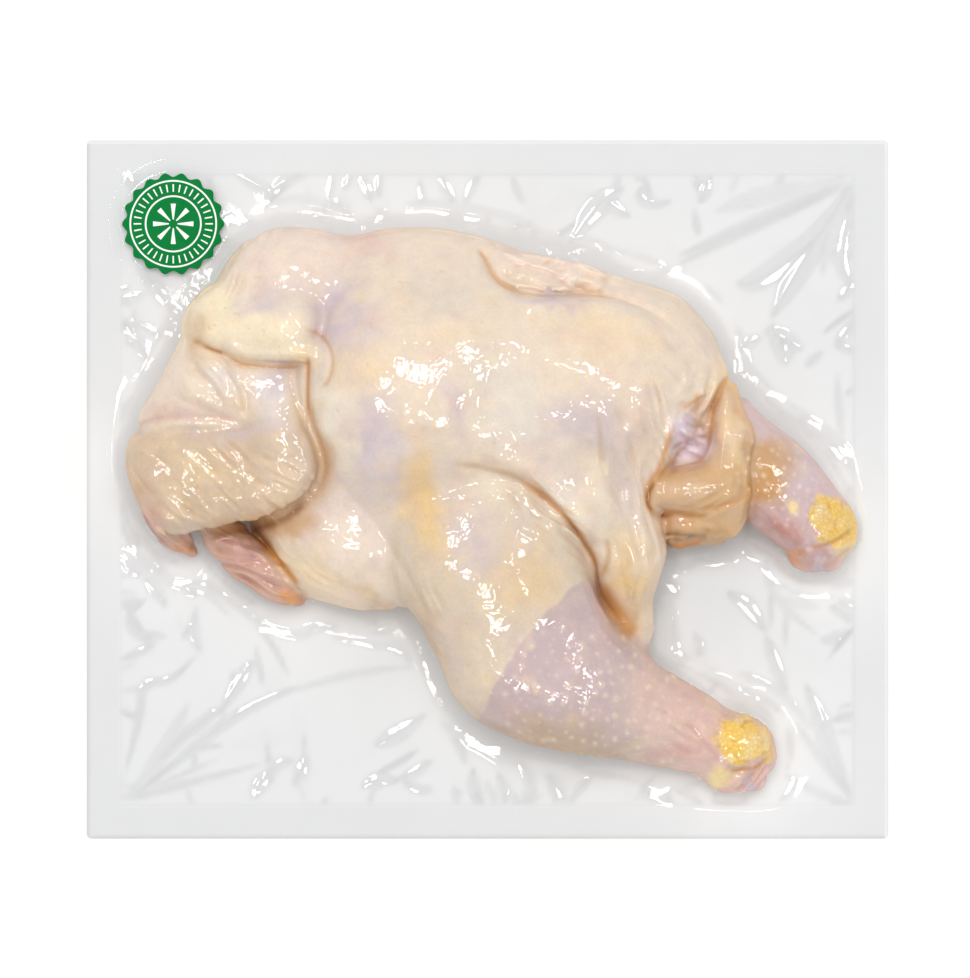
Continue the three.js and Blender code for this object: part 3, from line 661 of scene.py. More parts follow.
def opening_depth(x, y):
    total = np.zeros(np.shape(x))
    for depth, edge, *points in OPENINGS:
        corners = smooth_outline(points)
        near = around(x, y, corners, edge)
        inside = -outline_distance(x[near], y[near], corners)
        total[near] += depth * smoothstep(inside, -edge / 2, edge / 2)
    return total


def skin_relief(x, y):
    roots = sum(height * bump for _, height, bump in follicle_bumps(x, y))
    return fold_height(x, y) + pleat_height(x, y) + roots - opening_depth(x, y)


def bird_field():
    """Distances to the skin on a lattice of voxels. Blocks far from the skin hold only a sign."""
    blocks = np.ceil((FIELD_HIGH - FIELD_LOW) / (VOXEL * BLOCK)).astype(int)
    size = blocks * BLOCK
    columns = [FIELD_LOW[a] + np.arange(size[a]) * VOXEL for a in range(3)]
    flat_x, flat_y = np.meshgrid(columns[0], columns[1], indexing="ij")
    relief = skin_relief(flat_x, flat_y)

    middles = [FIELD_LOW[a] + (np.arange(blocks[a]) + 0.5) * BLOCK * VOXEL for a in range(3)]
    rough = bird_without_folds(*np.meshgrid(*middles, indexing="ij"))
    reach = BLOCK * VOXEL * HALF_DIAGONAL + MOST_RELIEF
    near = np.argwhere(np.abs(rough) < reach)

    background = BAND * VOXEL
    field = np.repeat(np.repeat(np.repeat(np.sign(rough), BLOCK, 0), BLOCK, 1), BLOCK, 2) * background
    offsets = np.arange(BLOCK)
    ix = (near[:, 0, None] * BLOCK + offsets)[:, :, None, None]
    iy = (near[:, 1, None] * BLOCK + offsets)[:, None, :, None]
    iz = (near[:, 2, None] * BLOCK + offsets)[:, None, None, :]
    for part in np.array_split(np.arange(len(near)), max(len(near) // BLOCKS_AT_ONCE, 1)):
        x = columns[0][ix[part]]
        y = columns[1][iy[part]]
        z = columns[2][iz[part]]
        skin = bird_without_folds(*np.broadcast_arrays(x, y, z))
        skin = skin - relief[ix[part], iy[part]] * smoothstep(z, RELIEF_FROM, RELIEF_FULL)
        rested = -soft_lesser(-skin, z - SKIN_FLOOR, REST_ROUNDING)
        field[ix[part], iy[part], iz[part]] = np.clip(rested, -background, background)
    field[:, :, columns[2] < SKIN_FLOOR - VOXEL] = background
    return field.astype(np.float32), columns, background


def skin_levels(field, columns):
    """The highest and the lowest level of the skin in each column, or 0 where there is none."""
    inside = field < 0
    found = inside.any(2)
    levels = []
    for way in (-1, 1):
        ordered = inside[:, :, ::way]
        first = ordered.argmax(2)
        index = first if way > 0 else field.shape[2] - 1 - first
        index = np.clip(index, 1, field.shape[2] - 2)
        here = np.take_along_axis(field, index[:, :, None], 2)[:, :, 0]
        beyond = np.take_along_axis(field, index[:, :, None] - way, 2)[:, :, 0]
        share = here / np.minimum(here - beyond, -1e-6)
        level = columns[2][index] - way * np.clip(share, 0, 1) * VOXEL
        levels.append(np.where(found, level, 0.0))
    return levels


# ---------- Meshes ----------
def mesh_object(name, points, faces, materials, material_index=None):
    """A smooth mesh from points in millimetres and faces with one number of corners."""
    mesh = bpy.data.meshes.new(name)
    corners = faces.shape[1]
    mesh.vertices.add(len(points))
    mesh.vertices.foreach_set("co", (np.asarray(points) * MM).astype(np.float32).ravel())
    mesh.loops.add(faces.size)
    mesh.loops.foreach_set("vertex_index", faces.astype(np.int32).ravel())
    mesh.polygons.add(len(faces))
    mesh.polygons.foreach_set("loop_start", np.arange(0, faces.size, corners, dtype=np.int32))
    mesh.polygons.foreach_set("use_smooth", np.ones(len(faces), bool))
    for material in materials:
        mesh.materials.append(material)
    if material_index is not None:
        mesh.polygons.foreach_set("material_index", material_index.astype(np.int32))
    mesh.update(calc_edges=True)
    made = bpy.data.objects.new(name, mesh)
    bpy.context.scene.collection.objects.link(made)
    return made


def point_weight(made, name, values):
    """A number for each point of a mesh, which its material reads by name."""
    weight = made.data.attributes.new(name, "FLOAT", "POINT")
    weight.data.foreach_set("value", values.ravel().astype(np.float32))


def grid_faces(columns, rows):
    """Quads over a grid whose points are numbered column by column, facing up."""
    i, j = np.meshgrid(np.arange(columns - 1), np.arange(rows - 1), indexing="ij")
    corner = (i * rows + j).ravel()
    return np.stack([corner, corner + rows, corner + rows + 1, corner + 1], 1)


# ---------- Stains and shade ----------
PART_SOFTNESS = 1.2  # millimetres over which the colours of two parts run together

# Stains over the parts' colours, and patches of painted shade, marked where they stand: the colour,
# where it is, its radii, its turn and its strength.
STAINS_AND_SHADE = [
    # breast and shoulder
    (PINK, (-52, 106), (22, 12), -20, 0.6),
    (PEACH, (20, 92), (34, 12), -10, 0.6),
    (BARE_PALE, (54, 84), (24, 12), -20, 1.0),
    (LAVENDER, (28, 80.5), (20, 5), -2, 0.8),
    (PEACH, (-102, 92), (16, 20), 20, 0.6),
    (LAVENDER, (-64, 73), (25, 27), 20, 0.9),
    (LAVENDER, (-96, 83), (18, 8), 10, 0.5),
    (YELLOW_FAT, (-52, 50), (20, 15), 40, 0.8),
    (LAVENDER, (-46, 18), (20, 34), 15, 0.9),
    (LAVENDER, (-14, 36), (9, 24), 20, 0.5),
    (GREY_SKIN, (-18, 84), (30, 18), -10, 0.5),
    (GREY_SKIN, (-2, 50), (18, 18), -20, 0.5),
    (SAGE, (10, 38), (24, 24), -30, 0.7),
    (MILKY, (20, 26), (36, 20), -35, 0.5),
    (LAVENDER, (38, 29), (20, 14), -20, 0.6),
    (PALE, (-64, 28), (12, 36), 5, 0.9),
    (FAT_GOLD, (-27, -6), (13, 42), 12, 0.8),
    (YELLOW_FAT, (-16, 66), (26, 9), 10, 0.4),
    (YELLOW_FAT, (50, 66), (32, 17), -20, 0.6),
    (MILKY, (-44, 14), (18, 14), 20, 0.5),
    # belly and its pleats
    (LAVENDER, (50, 28), (11, 26), 24, 0.5),
    (PINK, (65, 30), (9, 26), 5, 0.35),
    (LAVENDER, (58, 2), (9, 30), 4, 0.35),
    (FAT_GOLD, (60, -38), (13, 32), 8, 0.8),
    # painted shade at the end of the fold between thigh and belly
    (TAN, (58, -58), (9, 14), 38, 0.6),
    (PALE, (34, -8), (26, 9), -42, 0.8),
    (PALE, (52, -12), (10, 26), 6, 0.7),
    # flank and thigh
    (LAVENDER, (-62, -12), (22, 34), 32, 0.6),
    (BARE_PALE, (-60, -20), (20, 24), 32, 1.0),
    (YELLOW_FAT, (-76, -36), (32, 10), -32, 0.8),
    # painted shade under the wing, and in the next tan patch along the flank's lower edge
    (AMBER, (-84, -15), (24, 9), 18, 0.75),
    (TAN, (-46, -52), (32, 6), -38, 0.5),
    (FAT_GOLD, (16, -38), (24, 26), 0, 0.55),
    (LAVENDER, (-6, -18), (15, 26), 20, 0.5),
    # painted shade along the thigh's left edge
    (TAN, (-26, -60), (9, 28), 22, 0.5),
    # painted shade along the drumstick's lower side
    (BEIGE_SHADE, (34, -110), (62, 17), -18, 0.95),
    # far drumstick; its tan and amber patches are painted shade beside the tail
    (LAVENDER, (136, 2), (9, 12), -46, 0.5),
    (TAN, (120, 6), (16, 26), -25, 1.0),
    (TAN, (118, 8), (12, 20), -25, 1.0),
    (AMBER, (119, 4), (9, 20), -25, 0.6),
    (TAN, (112, 16), (7, 18), 10, 0.8),
    (ROSE, (127, -18), (15, 8), -52, 1.0),
    (HOCK_PALE, (129, -6), (4, 4), 0, 1.0),
    # top of the near thigh
    (PALE, (4, 4), (20, 14), 0, 0.6),
    # hocks
    (LAVENDER, (116, -126), (7, 6), 0, 1.0),
    (HOCK_PALE, (101, -124), (9, 6), -15, 0.9),
    (TAN, (110, -121), (10, 4), -10, 0.6),
    (ROSE, (145, -31), (11, 6), -15, 0.7),
    (ORANGE, (134, -29), (7, 4), -45, 0.7),
    (HOCK_PALE, (155, -24), (5, 9), -30, 0.9),
    (LAVENDER, (146, -33), (6, 4), 0, 1.0),
    # wing
    (MILKY, (-91, 40), (13, 22), 0, 1.0),
    (LAVENDER, (-88, 48), (8, 12), 0, 0.5),
    (LAVENDER, (-108, 25), (32, 7), 4, 0.5),
    (PINK, (-134, 34), (24, 6), 12, 0.6),
    (MILKY, (-114, 50), (12, 13), 20, 0.6),
    (YELLOW_FAT, (-88, 0), (18, 20), 0, 0.6),
    # painted shade along the lower and the left edge of the wing's flat
    (TAN, (-104, -14), (30, 7), 6, 0.6),
    (TAN, (-152, -2), (6, 22), 12, 0.6),
    (YELLOW_FAT, (-122, 10), (26, 12), -8, 0.5),
    (PEACH, (-132, 44), (14, 12), 40, 0.6),
    (LAVENDER, (-96, 78), (20, 8), 8, 0.6),
    (TAN, (-124, 66), (8, 16), 10, 0.5),
    (ORANGE, (-83, -47), (8, 5), -40, 1.0),
    (ROSE, (-104, -31), (22, 8), -40, 0.5),
    (ROSE, (-143, -13), (9, 15), 40, 0.6),
    (ORANGE, (-129, -26), (8, 6), -40, 0.9),
    # vent, twice over for a stronger tint, and tail
    (LILAC, (86, 22), (12, 13), 15, 1.0),
    (LILAC, (86, 22), (12, 13), 15, 1.0),
    (ORANGE, (90, 34), (8, 6), 30, 0.6),
    (ORANGE, (82, -14), (14, 7), 8, 0.5),
    (YELLOW_FAT, (103, 24), (7, 22), 5, 0.7),
    (TAN, (92, 0), (18, 10), 5, 0.5),
]
STAIN_AND_SHADE_EDGE = 0.95  # share of a patch's radius over which it fades out

# Painted shade in the deep folds, under edges and along lower sides, with a few lines of the skin's
# own colour: the colour, half its width, its strength, the points.
STROKES = [
    (RUST_SHADE, 1.4, 0.5, (12, 5), (20, 0), (28, -6.5), (35, -14), (41, -22), (45.5, -30), (47, -37)),
    (RUST_SHADE, 3.0, 0.55, (48, -38), (53, -48), (59, -57), (64, -64)),
    (RUST_SHADE, 1.3, 0.7, (80, 30), (76.5, 20), (73, 9), (69, 2), (68.5, -6), (73, -12)),
    (RUST_SHADE, 2.6, 0.8, (79, -22), (86, -24), (93, -22)),
    (RUST_SHADE, 1.0, 0.6, (-76, 57), (-76.3, 50), (-76.5, 40), (-76, 28)),
    (RUST_SHADE, 1.2, 0.8, (-108, -15), (-98, -22), (-90, -31), (-81, -42)),
    (ROSE, 1.0, 0.6, (-118, -21), (-104, -27), (-92, -35)),
    (ROSE, 1.0, 0.6, (-112, -30), (-100, -36), (-90, -43)),
    (MAUVE, 1.6, 0.5, (-116, -20), (-106, -24), (-98, -30)),
    (TAN, 1.4, 0.5, (-16, 11), (-5, 9.5), (4, 7.5), (12, 5), (20, 0)),
    (AMBER, 1.3, 0.6, (12, 5), (20, 0), (28, -6.5), (35, -14), (41, -22), (45.5, -30), (47, -37)),
    (UMBER_SHADE, 0.7, 0.6, (30, -8), (36, -15), (42, -24), (46, -31), (47, -37), (48.5, -45)),
    (UMBER_SHADE, 0.9, 0.7, (46.5, -33), (47.3, -40), (49, -46), (54, -53), (62, -62)),
    (AMBER, 2.6, 0.6, (49, -40), (53, -49), (59, -57), (64, -64)),
    (AMBER, 1.2, 0.5, (50.5, -20), (51.8, -27), (50.5, -33), (48, -39)),
    (AMBER, 1.3, 0.6, (-127, 65), (-122, 62), (-117, 59.5), (-110, 57)),
    (UMBER_SHADE, 0.6, 0.6, (-122, 61.5), (-117, 59.5), (-112, 58)),
    (AMBER, 0.8, 0.5, (-79, 68), (-72, 66), (-67, 60.5), (-65.5, 53), (-67.5, 46), (-72, 42)),
    (AMBER, 0.8, 0.7, (-113, 58), (-106, 54), (-98, 52.6), (-88, 52), (-77, 53)),
    (AMBER, 0.7, 0.6, (-76, 57), (-76.3, 50), (-76.5, 42), (-76, 30)),
    (AMBER, 1.3, 0.5, (-75, 40), (-74, 30), (-71, 20), (-69, 10), (-71, 0)),
    (TAN, 4.0, 0.6, (-72, 26), (-68.5, 15), (-68, 6), (-73, -3), (-82, -11), (-92, -16)),
    # painted shade under the wing's flat
    (UMBER_SHADE, 2.2, 0.8, (-126, -22), (-112, -19), (-100, -17), (-90, -14), (-82, -9), (-76, -2)),
    (AMBER, 1.5, 0.8, (-96, -24), (-90, -31), (-85, -37), (-80, -42)),
    (PINK, 1.2, 0.5, (-156, 25), (-144, 29.5), (-131, 31), (-117, 30.5), (-103, 29)),
    (AMBER, 0.8, 0.4, (96, 41), (90, 39), (86, 36), (82, 34)),
    (AMBER, 1.0, 0.7, (104, 49), (100.5, 45), (97.3, 38.5), (95.8, 31), (95.4, 24), (94, 15)),
    (MAUVE, 0.8, 0.5, (78, 17), (84, 20), (92, 18)),
    (MAUVE, 0.8, 0.4, (84, 29), (88, 27), (93, 27)),
    (TAN, 2.4, 0.9, (79, -20), (85, -21), (92, -20.5)),
    (AMBER, 1.6, 0.8, (78, 12), (74, 6), (70.5, 2), (68.5, -4), (70, -9), (74, -12)),
    (UMBER_SHADE, 0.7, 0.9, (72, 4), (69, -1), (68.5, -6), (71, -10)),
    (AMBER, 1.0, 0.7, (74, -12), (80, -10), (88, -11.5), (96, -11)),
    (UMBER_SHADE, 0.8, 0.6, (75, -19), (82, -19.5), (91, -20)),
    (ORANGE, 1.0, 0.7, (90, -9), (98, -7), (106, -5), (112, -1)),
    (AMBER, 1.0, 0.6, (-5, 104), (-1.5, 99), (2, 92), (7, 87), (16, 83.6)),
    (TAN, 1.0, 0.3, (7, 87), (16, 83.6), (30, 83), (44, 83.5), (60, 80)),
    (ROSE, 3.0, 0.35, (64, -116), (76, -114), (88, -112), (94, -113)),
    # painted shade along the drumstick's lower side
    (TAN, 3.5, 0.5, (-2, -105), (14, -110), (32, -114), (50, -119), (70, -119)),
    (ROSE, 1.2, 0.4, (86, -100), (92, -107), (97, -113), (101, -118)),
    (AMBER, 0.9, 0.7, (104, -122), (110, -121), (116, -120), (123, -115)),
    (AMBER, 0.9, 0.7, (138, -25), (145, -24), (152, -21), (159, -16)),
]

# The yellow, scaly skin of the two hocks: where it is, its radii and its turn.
HOCKS = [((110.5, -107), (15, 12.5), -28), ((149, -13.5), (13.5, 11.5), -35)]
# Painted shade in hollows: skin hemmed in by other skin turns darker and browner.
CAVITY_REACH = 6.0  # how far off the skin its openness is judged
CAVITY_FROM, CAVITY_FULL, CAVITY_SHADE = 0.15, 0.8, 0.42
PLEAT_SHADE = 0.45  # how much painted shade darkens the grooves between pleats
RIM_SHADE = 0.4  # how far painted shade darkens and warms the skin on steep sides, seen aslant
# The edge between the thigh's fat and the bare leg: its middle, turn, half length and bow.
LEG_EDGE_AT, LEG_EDGE_TURN, LEG_EDGE_HALF, LEG_EDGE_BOW = (20.5, -57), 49, 26, 2.8


def gradient(x, y, z):
    """The direction out of the skin at each point."""
    step = 0.5
    ways = []
    for dx, dy, dz in ((step, 0, 0), (0, step, 0), (0, 0, step)):
        ahead = bird_without_folds(x + dx, y + dy, z + dz)
        ways.append(ahead - bird_without_folds(x - dx, y - dy, z - dz))
    length = np.maximum(np.sqrt(sum(way**2 for way in ways)), 1e-6)
    return [way / length for way in ways]


def bare_leg(x, y):
    """1 on the thin skin of the near drumstick, past the crisp edge of the thigh's fat."""
    along, across = turned(x, y, LEG_EDGE_AT, LEG_EDGE_TURN)
    past = -across - LEG_EDGE_BOW * (along / LEG_EDGE_HALF) ** 2
    past += 0.8 * noise(x / 5, y / 5, 0, 17)
    return smoothstep(past, -0.6, 0.8) * smoothstep(-y, 34, 44)


def skin_colours(x, y, z):
    """The colour of the skin at each point, with painted shade in folds, hollows and on steep sides."""
    distances = np.stack([part_distance(part, x, y, z) for part in BIRD])
    weights = np.exp(-(distances - distances.min(0)) / PART_SOFTNESS)
    weights /= weights.sum(0)
    colour = weights.T @ np.stack([part[1] for part in BIRD])

    def tint(towards, amount):
        nonlocal colour
        colour = colour + (towards - colour) * np.clip(amount, 0, 1)[:, None]

    def mottling(size, seed, layers):
        return layered(x / size, y / size, z / size, seed, layers)

    names = [part[0] for part in BIRD]
    leg = weights[names.index("thigh")] + weights[names.index("drumstick")]
    towards_hock = x + 9 * mottling(14, 19, 3)
    tint(BARE_SKIN, 0.9 * leg * bare_leg(x, y) * (1 - smoothstep(towards_hock, 44, 96)))
    tint(PINK, 0.9 * leg * smoothstep(towards_hock, 46, 92))
    wander_x = x + 4 * mottling(9, 21, 3)
    wander_y = y + 4 * mottling(9, 31, 3)
    # tint in the stains and the patches of painted shade
    for stain_or_shade, at, radii, turn, strength in STAINS_AND_SHADE:
        tint(stain_or_shade, strength * patch(wander_x, wander_y, at, radii, turn, STAIN_AND_SHADE_EDGE))
    for at, radii, turn in HOCKS:
        on_hock = patch(wander_x, wander_y, at, radii, turn, 0.3)
        tint(HOCK_YELLOW, on_hock)
        tint(HOCK_PALE, on_hock * smoothstep(mottling(4, 61, 2), 0.0, 0.8))
        tint(AMBER, 0.5 * on_hock * smoothstep(mottling(3, 63, 2), 0.3, 1.0))
    tint(LAVENDER, 0.2 * smoothstep(mottling(16, 51, 3), 0.1, 0.9))
    tint(PINK, 0.22 * smoothstep(mottling(12, 53, 3), 0.2, 1.0))
    tint(YELLOW_FAT, 0.3 * smoothstep(mottling(9, 55, 3), 0.2, 1.0))
    tint(AMBER, 0.25 * smoothstep(mottling(2.2, 57, 2), 0.85, 1.2))

    upper = smoothstep(z, RELIEF_FROM, RELIEF_FULL)
    grooves = upper * smoothstep(-pleat_height(x, y), 0.1, 0.7)
    # painted shade in the grooves between pleats
    tint(colour * (0.86, 0.72, 0.58), PLEAT_SHADE * grooves)
    tint(MAUVE, 0.75 * grooves * patch(x, y, (-103, -30), (24, 11), -40, 0.6))
    for root_colour, _, bump in follicle_bumps(x, y):
        tint(root_colour, 0.7 * upper * bump)
        tint(TAN, 0.5 * upper * smoothstep(bump, 0.72, 0.95))
    out = gradient(x, y, z)
    lining = weights[names.index("vent")]
    # painted shade on the skin's steep sides
    tint(colour * (0.95, 0.82, 0.66), RIM_SHADE * (1 - lining) * smoothstep(1 - out[2], 0.3, 1.0))
    # painted shade in hollows, by how open the skin is
    far = [c + CAVITY_REACH * way for c, way in zip((x, y, z), out)]
    openness = (bird_without_folds(*far) - bird_without_folds(x, y, z)) / CAVITY_REACH
    cavity_shade = smoothstep(1 - openness, CAVITY_FROM, CAVITY_FULL) * (1 - lining)
    tint(colour * (0.80, 0.58, 0.36), CAVITY_SHADE * cavity_shade)
    # painted shade along folds and edges, with a few lines of the skin's own colour
    for stroke, half_width, strength, *points in STROKES:
        away, place = along_path(x, y, smooth_path(points))
        tint(stroke, strength * upper * tapered(place) * np.exp(-((away / half_width) ** 2)))
    return colour


# ---------- Materials ----------
def new_material(name):
    material = bpy.data.materials.new(name)
    material.use_nodes = True
    material.node_tree.nodes.clear()
    return material, material.node_tree


def node(tree, kind, inputs=None, **settings):
    """A shader node with its settings, and its inputs as numbers, colours or other nodes' outputs."""
    made = tree.nodes.new("ShaderNode" + kind)
    for name, value in settings.items():
        setattr(made, name, value)
    for name, value in (inputs or {}).items():
        socket = made.inputs[name]
        if isinstance(value, bpy.types.NodeSocket):
            tree.links.new(value, socket)
        else:
            socket.default_value = value
    return made


def rgba(colour):
    return (*[float(c) for c in colour], 1.0)


def math_node(tree, operation, *values):
    return node(tree, "Math", dict(enumerate(values)), operation=operation).outputs[0]


def mapped(tree, value, low, high, to_low=0.0, to_high=1.0, kind="SMOOTHSTEP"):
    made = node(
        tree,
        "MapRange",
        {"Value": value, 1: low, 2: high, 3: to_low, 4: to_high},
        interpolation_type=kind,
    )
    return made.outputs[0]


def mixed_colour(tree, amount, one, other, blend="MIX"):
    made = node(tree, "Mix", data_type="RGBA", blend_type=blend)
    for index, value in ((0, amount), (6, one), (7, other)):
        if isinstance(value, bpy.types.NodeSocket):
            tree.links.new(value, made.inputs[index])
        else:
            made.inputs[index].default_value = value
    return made.outputs[2]


def attribute(tree, name, output="Fac"):
    return node(tree, "Attribute", attribute_name=name).outputs[output]


def skin_material():
    """Moist raw skin: colours from the mesh, mottling, wrinkles and the scales of the hocks."""
    material, tree = new_material("raw_skin")
    place = node(tree, "TexCoord").outputs["Object"]

    def noise_value(scale, detail=2.0):
        return node(tree, "TexNoise", {"Vector": place, "Scale": scale, "Detail": detail}).outputs["Fac"]

    mottle = mapped(tree, noise_value(140, 3.0), 0.3, 0.7, 0.945, 1.035, "LINEAR")
    fine = mapped(tree, noise_value(900, 1.0), 0.3, 0.7, 0.965, 1.025, "LINEAR")
    shade = math_node(tree, "MULTIPLY", mottle, fine)
    colour = attribute(tree, "skin", "Color")
    shaded = node(tree, "VectorMath", {0: colour}, operation="SCALE")
    tree.links.new(shade, shaded.inputs["Scale"])

    scales = attribute(tree, "scales")
    plates = node(
        tree,
        "TexVoronoi",
        {"Vector": place, "Scale": 470.0, "Randomness": 0.9},
        feature="DISTANCE_TO_EDGE",
    )
    cracks = mapped(tree, plates.outputs["Distance"], 0.0, 0.12, 1.0, 0.0)
    cracks = math_node(tree, "MULTIPLY", cracks, scales)
    with_cracks = mixed_colour(
        tree,
        math_node(tree, "MULTIPLY", cracks, 0.3),
        shaded.outputs[0],
        rgba(linear(214, 150, 60)),
    )

    wrinkles = math_node(tree, "MULTIPLY", noise_value(520, 2.0), 0.6)
    height = math_node(tree, "SUBTRACT", wrinkles, math_node(tree, "MULTIPLY", cracks, 0.6))
    bump = node(tree, "Bump", {"Strength": 0.6, "Distance": 0.0006, "Height": height})
    rough = mapped(tree, noise_value(300), 0.3, 0.7, 0.4, 0.54, "LINEAR")
    surface = node(
        tree,
        "BsdfPrincipled",
        {
            "Base Color": with_cracks,
            "Roughness": rough,
            "Normal": bump.outputs[0],
            "Subsurface Weight": 0.25,
            "Subsurface Radius": (1.0, 0.55, 0.35),
            "Subsurface Scale": 0.003,
            "IOR": 1.33,
        },
    )
    node(tree, "OutputMaterial", {"Surface": surface.outputs[0]})
    return material


def film_material(name, tint, pressed):
    """Clear film: it dims what lies behind it a little and reflects like a gloss. Painted shade dims it
    more along its creases, its folds' flanks and its edges, and painted light leaves it untinted beside
    the bird. Pressed film has the fine diagonal ribs of the sealing bar."""
    material, tree = new_material(name)
    place = node(tree, "TexCoord").outputs["Object"]

    def crinkle(scale, height):
        inputs = {"Vector": place, "Scale": scale, "Detail": 1.0, "Roughness": 0.55}
        return math_node(tree, "MULTIPLY", node(tree, "TexNoise", inputs).outputs["Fac"], height)

    clinging = math_node(tree, "MULTIPLY", crinkle(430.0, 0.2), attribute(tree, "cling"))
    sharp = math_node(tree, "ABSOLUTE", math_node(tree, "SUBTRACT", crinkle(220.0, 1.0), 0.5))
    sharp = math_node(tree, "MULTIPLY", math_node(tree, "MULTIPLY", sharp, 0.9), attribute(tree, "cling"))
    clinging = math_node(tree, "ADD", clinging, sharp)
    height = math_node(tree, "ADD", crinkle(160.0, 0.1), clinging)
    # painted light: no tint on the web beside the bird
    see_through = mixed_colour(tree, attribute(tree, "spread"), (1, 1, 1, 1), rgba(tint))
    # painted shade along creases, folds' flanks and edges
    dimmed = rgba([CREASE_SHADE] * 3)
    see_through = mixed_colour(tree, attribute(tree, "crease"), see_through, dimmed, "MULTIPLY")
    if pressed:
        axes = node(tree, "SeparateXYZ", {0: place})
        spacing = 2 * math.pi / (RIB_SPACING * MM)
        ribs = []
        for sign in ("ADD", "SUBTRACT"):
            phase = math_node(tree, sign, axes.outputs[0], axes.outputs[1])
            ribs.append(math_node(tree, "SINE", math_node(tree, "MULTIPLY", phase, spacing)))
        knurl = math_node(tree, "MULTIPLY", ribs[0], ribs[1])
        knurl = mapped(tree, knurl, -0.3, 0.5)
        see_through = mixed_colour(
            tree, math_node(tree, "MULTIPLY", knurl, 0.5), see_through, rgba([0.965] * 3), "MULTIPLY"
        )
    bump = node(tree, "Bump", {"Strength": 1.0, "Distance": 0.0003, "Height": height})
    fresnel = node(tree, "Fresnel", {"IOR": 1.5, "Normal": bump.outputs[0]})
    amount = math_node(tree, "MULTIPLY", fresnel.outputs[0], 1.4)
    amount = math_node(tree, "MINIMUM", amount, MOST_GLOSS)
    amount = math_node(tree, "MULTIPLY", amount, attribute(tree, "gloss"))
    clear = node(tree, "BsdfTransparent", {"Color": see_through})
    gloss = node(
        tree,
        "BsdfAnisotropic",
        {"Color": (1, 1, 1, 1), "Roughness": 0.03, "Normal": bump.outputs[0]},
        distribution="GGX",
    )
    both = node(tree, "MixShader", {0: amount, 1: clear.outputs[0], 2: gloss.outputs[0]})
    node(tree, "OutputMaterial", {"Surface": both.outputs[0]})
    return material


def label_place():
    """The label in the CAD part: its centre, its radius, and the levels of its base and its face."""
    low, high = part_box("round_label")
    centre = [(a + b) / 2 / MM for a, b in zip(low[:2], high[:2])]
    return centre, (high[0] - low[0]) / 2 / MM, low[2] / MM, high[2] / MM


def label_material():
    """Green paper with plain white rings, a ring of ticks and a ring of petals."""
    (centre_x, centre_y), radius, *_ = label_place()
    material, tree = new_material("label_print")
    place = node(tree, "TexCoord").outputs["Object"]
    centre = (centre_x * MM, centre_y * MM, 0)
    local = node(tree, "VectorMath", {0: place, 1: centre}, operation="SUBTRACT")
    axes = node(tree, "SeparateXYZ", {0: local.outputs[0]})
    x, y = axes.outputs[0], axes.outputs[1]
    squares = [math_node(tree, "MULTIPLY", v, v) for v in (x, y)]
    away = math_node(tree, "SQRT", math_node(tree, "ADD", *squares))
    angle = math_node(tree, "ARCTAN2", y, x)

    def ring(at, half_width):
        offset = math_node(tree, "ABSOLUTE", math_node(tree, "SUBTRACT", away, at * radius * MM))
        return mapped(tree, offset, half_width * MM, (half_width + 0.12) * MM, 1.0, 0.0)

    def spokes(count, share):
        wave = math_node(tree, "COSINE", math_node(tree, "MULTIPLY", angle, float(count)))
        edge = math.cos(math.pi * share)
        return mapped(tree, wave, edge - 0.06, edge + 0.06)

    ticks = math_node(tree, "MULTIPLY", ring(0.70, 1.6), spokes(36, 0.22))
    petals = math_node(tree, "MULTIPLY", ring(0.24, 3.4), spokes(8, 0.32))
    white = ring(0.84, 0.3)
    for shape in (ticks, petals, ring(0.54, 0.3)):
        white = math_node(tree, "MAXIMUM", white, shape)
    grain = node(tree, "TexNoise", {"Vector": place, "Scale": 700.0, "Detail": 2.0}).outputs["Fac"]
    green = mixed_colour(tree, grain, rgba(linear(2, 112, 50)), rgba(linear(8, 124, 58)))
    colour = mixed_colour(tree, white, green, rgba(linear(238, 246, 240)))
    bump = node(tree, "Bump", {"Strength": 0.3, "Distance": 0.00005, "Height": grain})
    surface = node(
        tree,
        "BsdfPrincipled",
        {"Base Color": colour, "Roughness": 0.6, "IOR": 1.15, "Normal": bump.outputs[0]},
    )
    node(tree, "OutputMaterial", {"Surface": surface.outputs[0]})
    return material


# ---------- The bird ----------
def make_bird(field, columns, background):
    """The skin's mesh with its colours and the weight of its scales."""
    grid = openvdb.FloatGrid(background)
    grid.copyFromArray(field)
    points, quads = grid.convertToQuads(0.0)
    points = points.astype(float) * VOXEL + FIELD_LOW
    quads = facing_out(points, quads.astype(np.int64))
    bird = mesh_object("chicken", points, quads, [skin_material()])
    x, y, z = points.T
    colours = skin_colours(x, y, z)
    layer = bird.data.color_attributes.new("skin", "FLOAT_COLOR", "POINT")
    layer.data.foreach_set("color", np.hstack([colours, np.ones((len(x), 1))]).ravel())
    point_weight(bird, "scales", np.max([patch(x, y, *hock, 0.2) for hock in HOCKS], axis=0))
    return bird


def facing_out(points, quads):
    """The same faces, turned if the volume that they enclose comes out negative."""
    a, b, c, d = (points[quads[:, n]] for n in range(4))
    volume = np.einsum("ij,ij->", a, np.cross(b, c)) + np.einsum("ij,ij->", a, np.cross(c, d))
    return quads if volume > 0 else quads[:, ::-1]


# ---------- The films ----------
def sampled(values, columns, x, y):
    """Values on the bird's lattice, read between its points."""
    return between(values, (x - columns[0][0]) / VOXEL, (y - columns[1][0]) / VOXEL)


